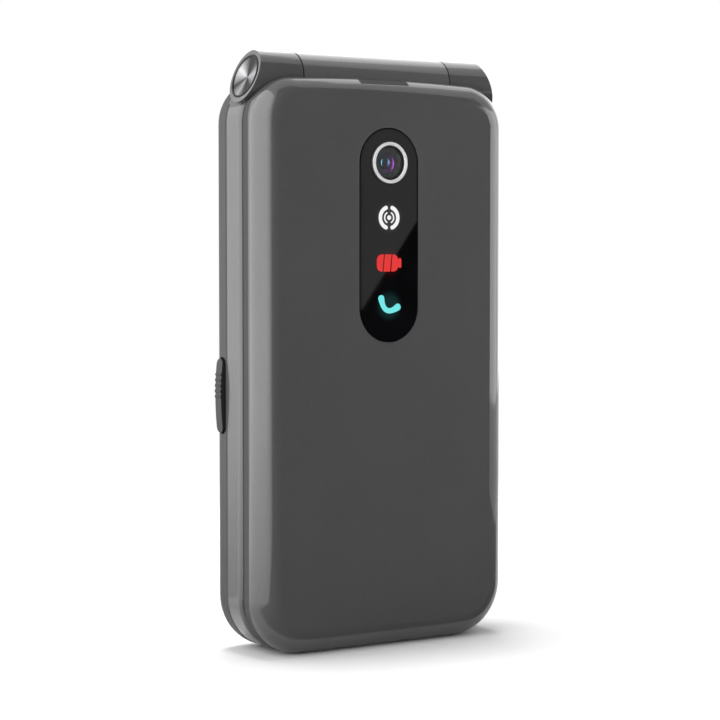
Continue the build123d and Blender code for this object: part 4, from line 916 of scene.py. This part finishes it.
# camera, as the photograph was taken; focal is its focal length in pixels of the picture
def viewpoint():
    look = {"turn": math.radians(32.88), "down": 0.052, "distance": 0.3931, "across": -0.00065,
            "height": 0.05222, "focal": 2124.0, "picture": 720, "sensor": 36.0, "nearest": 0.01}
    turn, down = look["turn"], look["down"]
    level = math.cos(down)
    back = Vector((-math.sin(turn) * level, -math.cos(turn) * level, math.sin(down)))
    right = Vector((math.cos(turn), -math.sin(turn), 0))
    data = bpy.data.cameras.new("camera")
    data.sensor_width = look["sensor"]
    data.lens = look["sensor"] * look["focal"] / look["picture"]
    data.clip_start = look["nearest"]
    made = bpy.data.objects.new("camera", data)
    scene.collection.objects.link(made)
    made.location = back * look["distance"] + right * look["across"] + Vector((0, 0, look["height"]))
    made.rotation_mode = "QUATERNION"
    made.rotation_quaternion = (-back).to_track_quat("-Z", "Y")
    return made


eye = viewpoint()
scene.camera = eye


# Studio

# soft lamps, with the radiance that a mirror would show of them, and the rays that don't see them;
# the phone mirrors a bent card in the place of the two on the left
lamps = {
    "leftLight": {"size": (2.85, 2.0), "at": (-0.6, -0.875, 0.7), "aim": (0.4, -0.875, 0.7),
                  "radiance": 2.55, "notBy": "glossy"},
    "backLight": {"size": (0.95, 2.0), "at": (-0.6, 1.03, 0.7), "aim": (0.4, 1.03, 0.7),
                  "radiance": 1.25, "notBy": "glossy"},
    "rightLight": {"size": (2.0, 1.6), "at": (0.7, 1.0, 0.5), "aim": (0, 1.0, 0.5), "radiance": 1.4},
    "rimLight": {"size": (0.44, 0.6), "at": (0.56, -0.27, 0.0), "aim": (0.02, -0.01, 0.0),
                 "radiance": 2.7, "notBy": "diffuse"},
    "topLight": {"size": (0.3, 0.3), "at": (0, 0.12, 1.0), "aim": (0, 0.12, 0), "radiance": 38.0,
                 "notBy": "glossy"},
}


def lamp(name, look):
    width, height = look["size"]
    data = bpy.data.lights.new(name, "AREA")
    data.shape = "RECTANGLE"
    data.size, data.size_y = width, height
    data.energy = look["radiance"] * math.pi * width * height
    made = bpy.data.objects.new(name, data)
    scene.collection.objects.link(made)
    made.location = look["at"]
    made.rotation_mode = "QUATERNION"
    made.rotation_quaternion = (Vector(look["aim"]) - Vector(look["at"])).to_track_quat("-Z", "Y")
    made.visible_camera = False
    if "notBy" in look:
        setattr(made, "visible_" + look["notBy"], False)
    return made


lit = {name: lamp(name, look) for name, look in lamps.items()}


def staged(name, corners, material):
    mesh = bpy.data.meshes.new(name)
    mesh.from_pydata(corners, [], [tuple(range(len(corners)))])
    mesh.materials.append(material)
    made = bpy.data.objects.new(name, mesh)
    scene.collection.objects.link(made)
    return made


# a flag or card that only reflections see
def mirroredCard(name, corners, material):
    made = staged(name, corners, material)
    made.visible_camera = False
    made.visible_diffuse = False
    made.visible_shadow = False


# the flag stands in front of the phone, wider above its shoulder, and lies on the floor before it
def darkFlag():
    look = {"front": -0.2, "left": -0.0843, "right": 0.178, "low": 0.001, "high": 0.62,
            "shoulder": {"right": 0.235, "low": 0.17}, "near": {"left": -0.05058, "front": -0.0102}}
    front, left, right, low, high = (look[key] for key in ("front", "left", "right", "low", "high"))
    shoulder, near = look["shoulder"], look["near"]
    outline = [(left, low), (right, low), (right, shoulder["low"]), (shoulder["right"], shoulder["low"]),
               (shoulder["right"], high), (left, high)]
    black = Shader("flagBlack").shining("000000", 0.0)
    mirroredCard("flagFront", [(x, front, z) for x, z in outline], black)
    lying = [(left, front), (near["left"], near["front"]), (right, near["front"]), (right, front)]
    mirroredCard("flagFloor", [(x, y, low) for x, y in lying], black)


# the pale card is what the upper left part of the window mirrors for the camera
def paleCard():
    look = {"centre": (0, 75.2), "size": (12.2, 38.3), "corner": 6.05, "edge": ((6.02, 77.7), (-5.97, 61.66)),
            "window": -0.0085, "depth": -0.195, "strength": 0.56}
    outline = clipped(roundBox(look["centre"], look["size"], look["corner"], 12), *look["edge"])
    mirrored = Vector((eye.location.x, 2 * look["window"] - eye.location.y, eye.location.z))
    corners = []
    for x, z in outline:
        ray = Vector((x * mm, look["window"], z * mm)) - mirrored
        corners.append(tuple(mirrored + ray * ((look["depth"] - mirrored.y) / ray.y)))
    mirroredCard("paleCard", corners, Shader("cardPale").shining((1, 1, 1, 1), look["strength"]))


# a bent card to the left, on the floor and then upright, is what the phone's side mirrors: dimmer towards
# the front and the back, and on the floor towards the phone
def sweepCard():
    look = {"far": -0.6, "near": -0.035, "front": -2.3, "back": 1.505, "low": 0.0006, "high": 1.7,
            "fade": 0.17, "dim": 1.1, "left": 3.25, "behind": 2.45, "strength": 1.16,
            "frontFade": (-3.0, -0.7), "backFade": (0.88, 0.96)}
    shader = Shader("sweep")
    x, y, z = shader.place()
    away, slope = distance(x, y), y / abs(x)
    left, behind = slope.between(*look["frontFade"]), slope.between(*look["backFade"])
    level = look["dim"] + look["left"] * left - look["behind"] * behind
    sweep = shader.shining(level * away / (away + look["fade"] / mm), look["strength"])
    far, near, front, back = (look[key] for key in ("far", "near", "front", "back"))
    low, high = look["low"], look["high"]
    lying = [(near, front, low), (near, back, low), (far, back, low), (far, front, low)]
    upright = [(far, front, low), (far, back, low), (far, back, high), (far, front, high)]
    mirroredCard("sweepFloor", lying, sweep)
    mirroredCard("sweepUpright", upright, sweep)


darkFlag()
paleCard()
sweepCard()


# floor: white paper that keeps the shadow, passes into the white round it, and is clear from below
def floorWhite():
    look = {"paper": "bcbcbc", "fibre": "b4b4b4", "lift": 0.52, "near": 0.16, "far": 0.34}
    shader = Shader("floorWhite")
    x, y, z = shader.place()
    away = distance(x, y).between(look["near"] / mm, look["far"] / mm)
    seen = shader.seen()
    lift = (look["lift"], look["lift"], look["lift"], 1)
    grain = shader.mix(shader.noise(1.2, 3.0) * 0.3, look["paper"], look["fibre"])
    paper = shader.node("ShaderNodeBsdfDiffuse", None, {"Color": grain})
    lifted = shader.node("ShaderNodeBsdfDiffuse", None, {"Color": lift})
    white = shader.node("ShaderNodeEmission", None, {"Color": (1, 1, 1, 1), "Strength": 1.0})
    clear = shader.node("ShaderNodeBsdfTransparent")
    below = shader.node("ShaderNodeNewGeometry", out="Backfacing")
    near = shader.node("ShaderNodeMixShader", None, {0: seen, 1: paper, 2: lifted})
    above = shader.node("ShaderNodeMixShader", None, {0: away * seen, 1: near, 2: white})
    return shader.surface(shader.node("ShaderNodeMixShader", None, {0: below, 1: above, 2: clear}))


# the lamp above lights the floor alone, and gives the phone its shadow there
reach = 4
floor = staged("floor", [(-reach, -reach, 0), (reach, -reach, 0), (reach, reach, 0), (-reach, reach, 0)],
               floorWhite())
floorOnly = bpy.data.collections.new("floorOnly")
floorOnly.objects.link(floor)
lit["topLight"].light_linking.receiver_collection = floorOnly

# the world fills the shadows, and is white where it is seen
world = bpy.data.worlds.new("studio")
world.use_nodes = True
scene.world = world
studio = {"fill": 0.55, "background": 1.0}
strength = studio["fill"] + (studio["background"] - studio["fill"]) * Nodes(world.node_tree).seen()
sky = world.node_tree.nodes["Background"]
world.node_tree.links.new(strength.socket, sky.inputs["Strength"])
sky.inputs["Color"].default_value = (1, 1, 1, 1)
print("studio set")
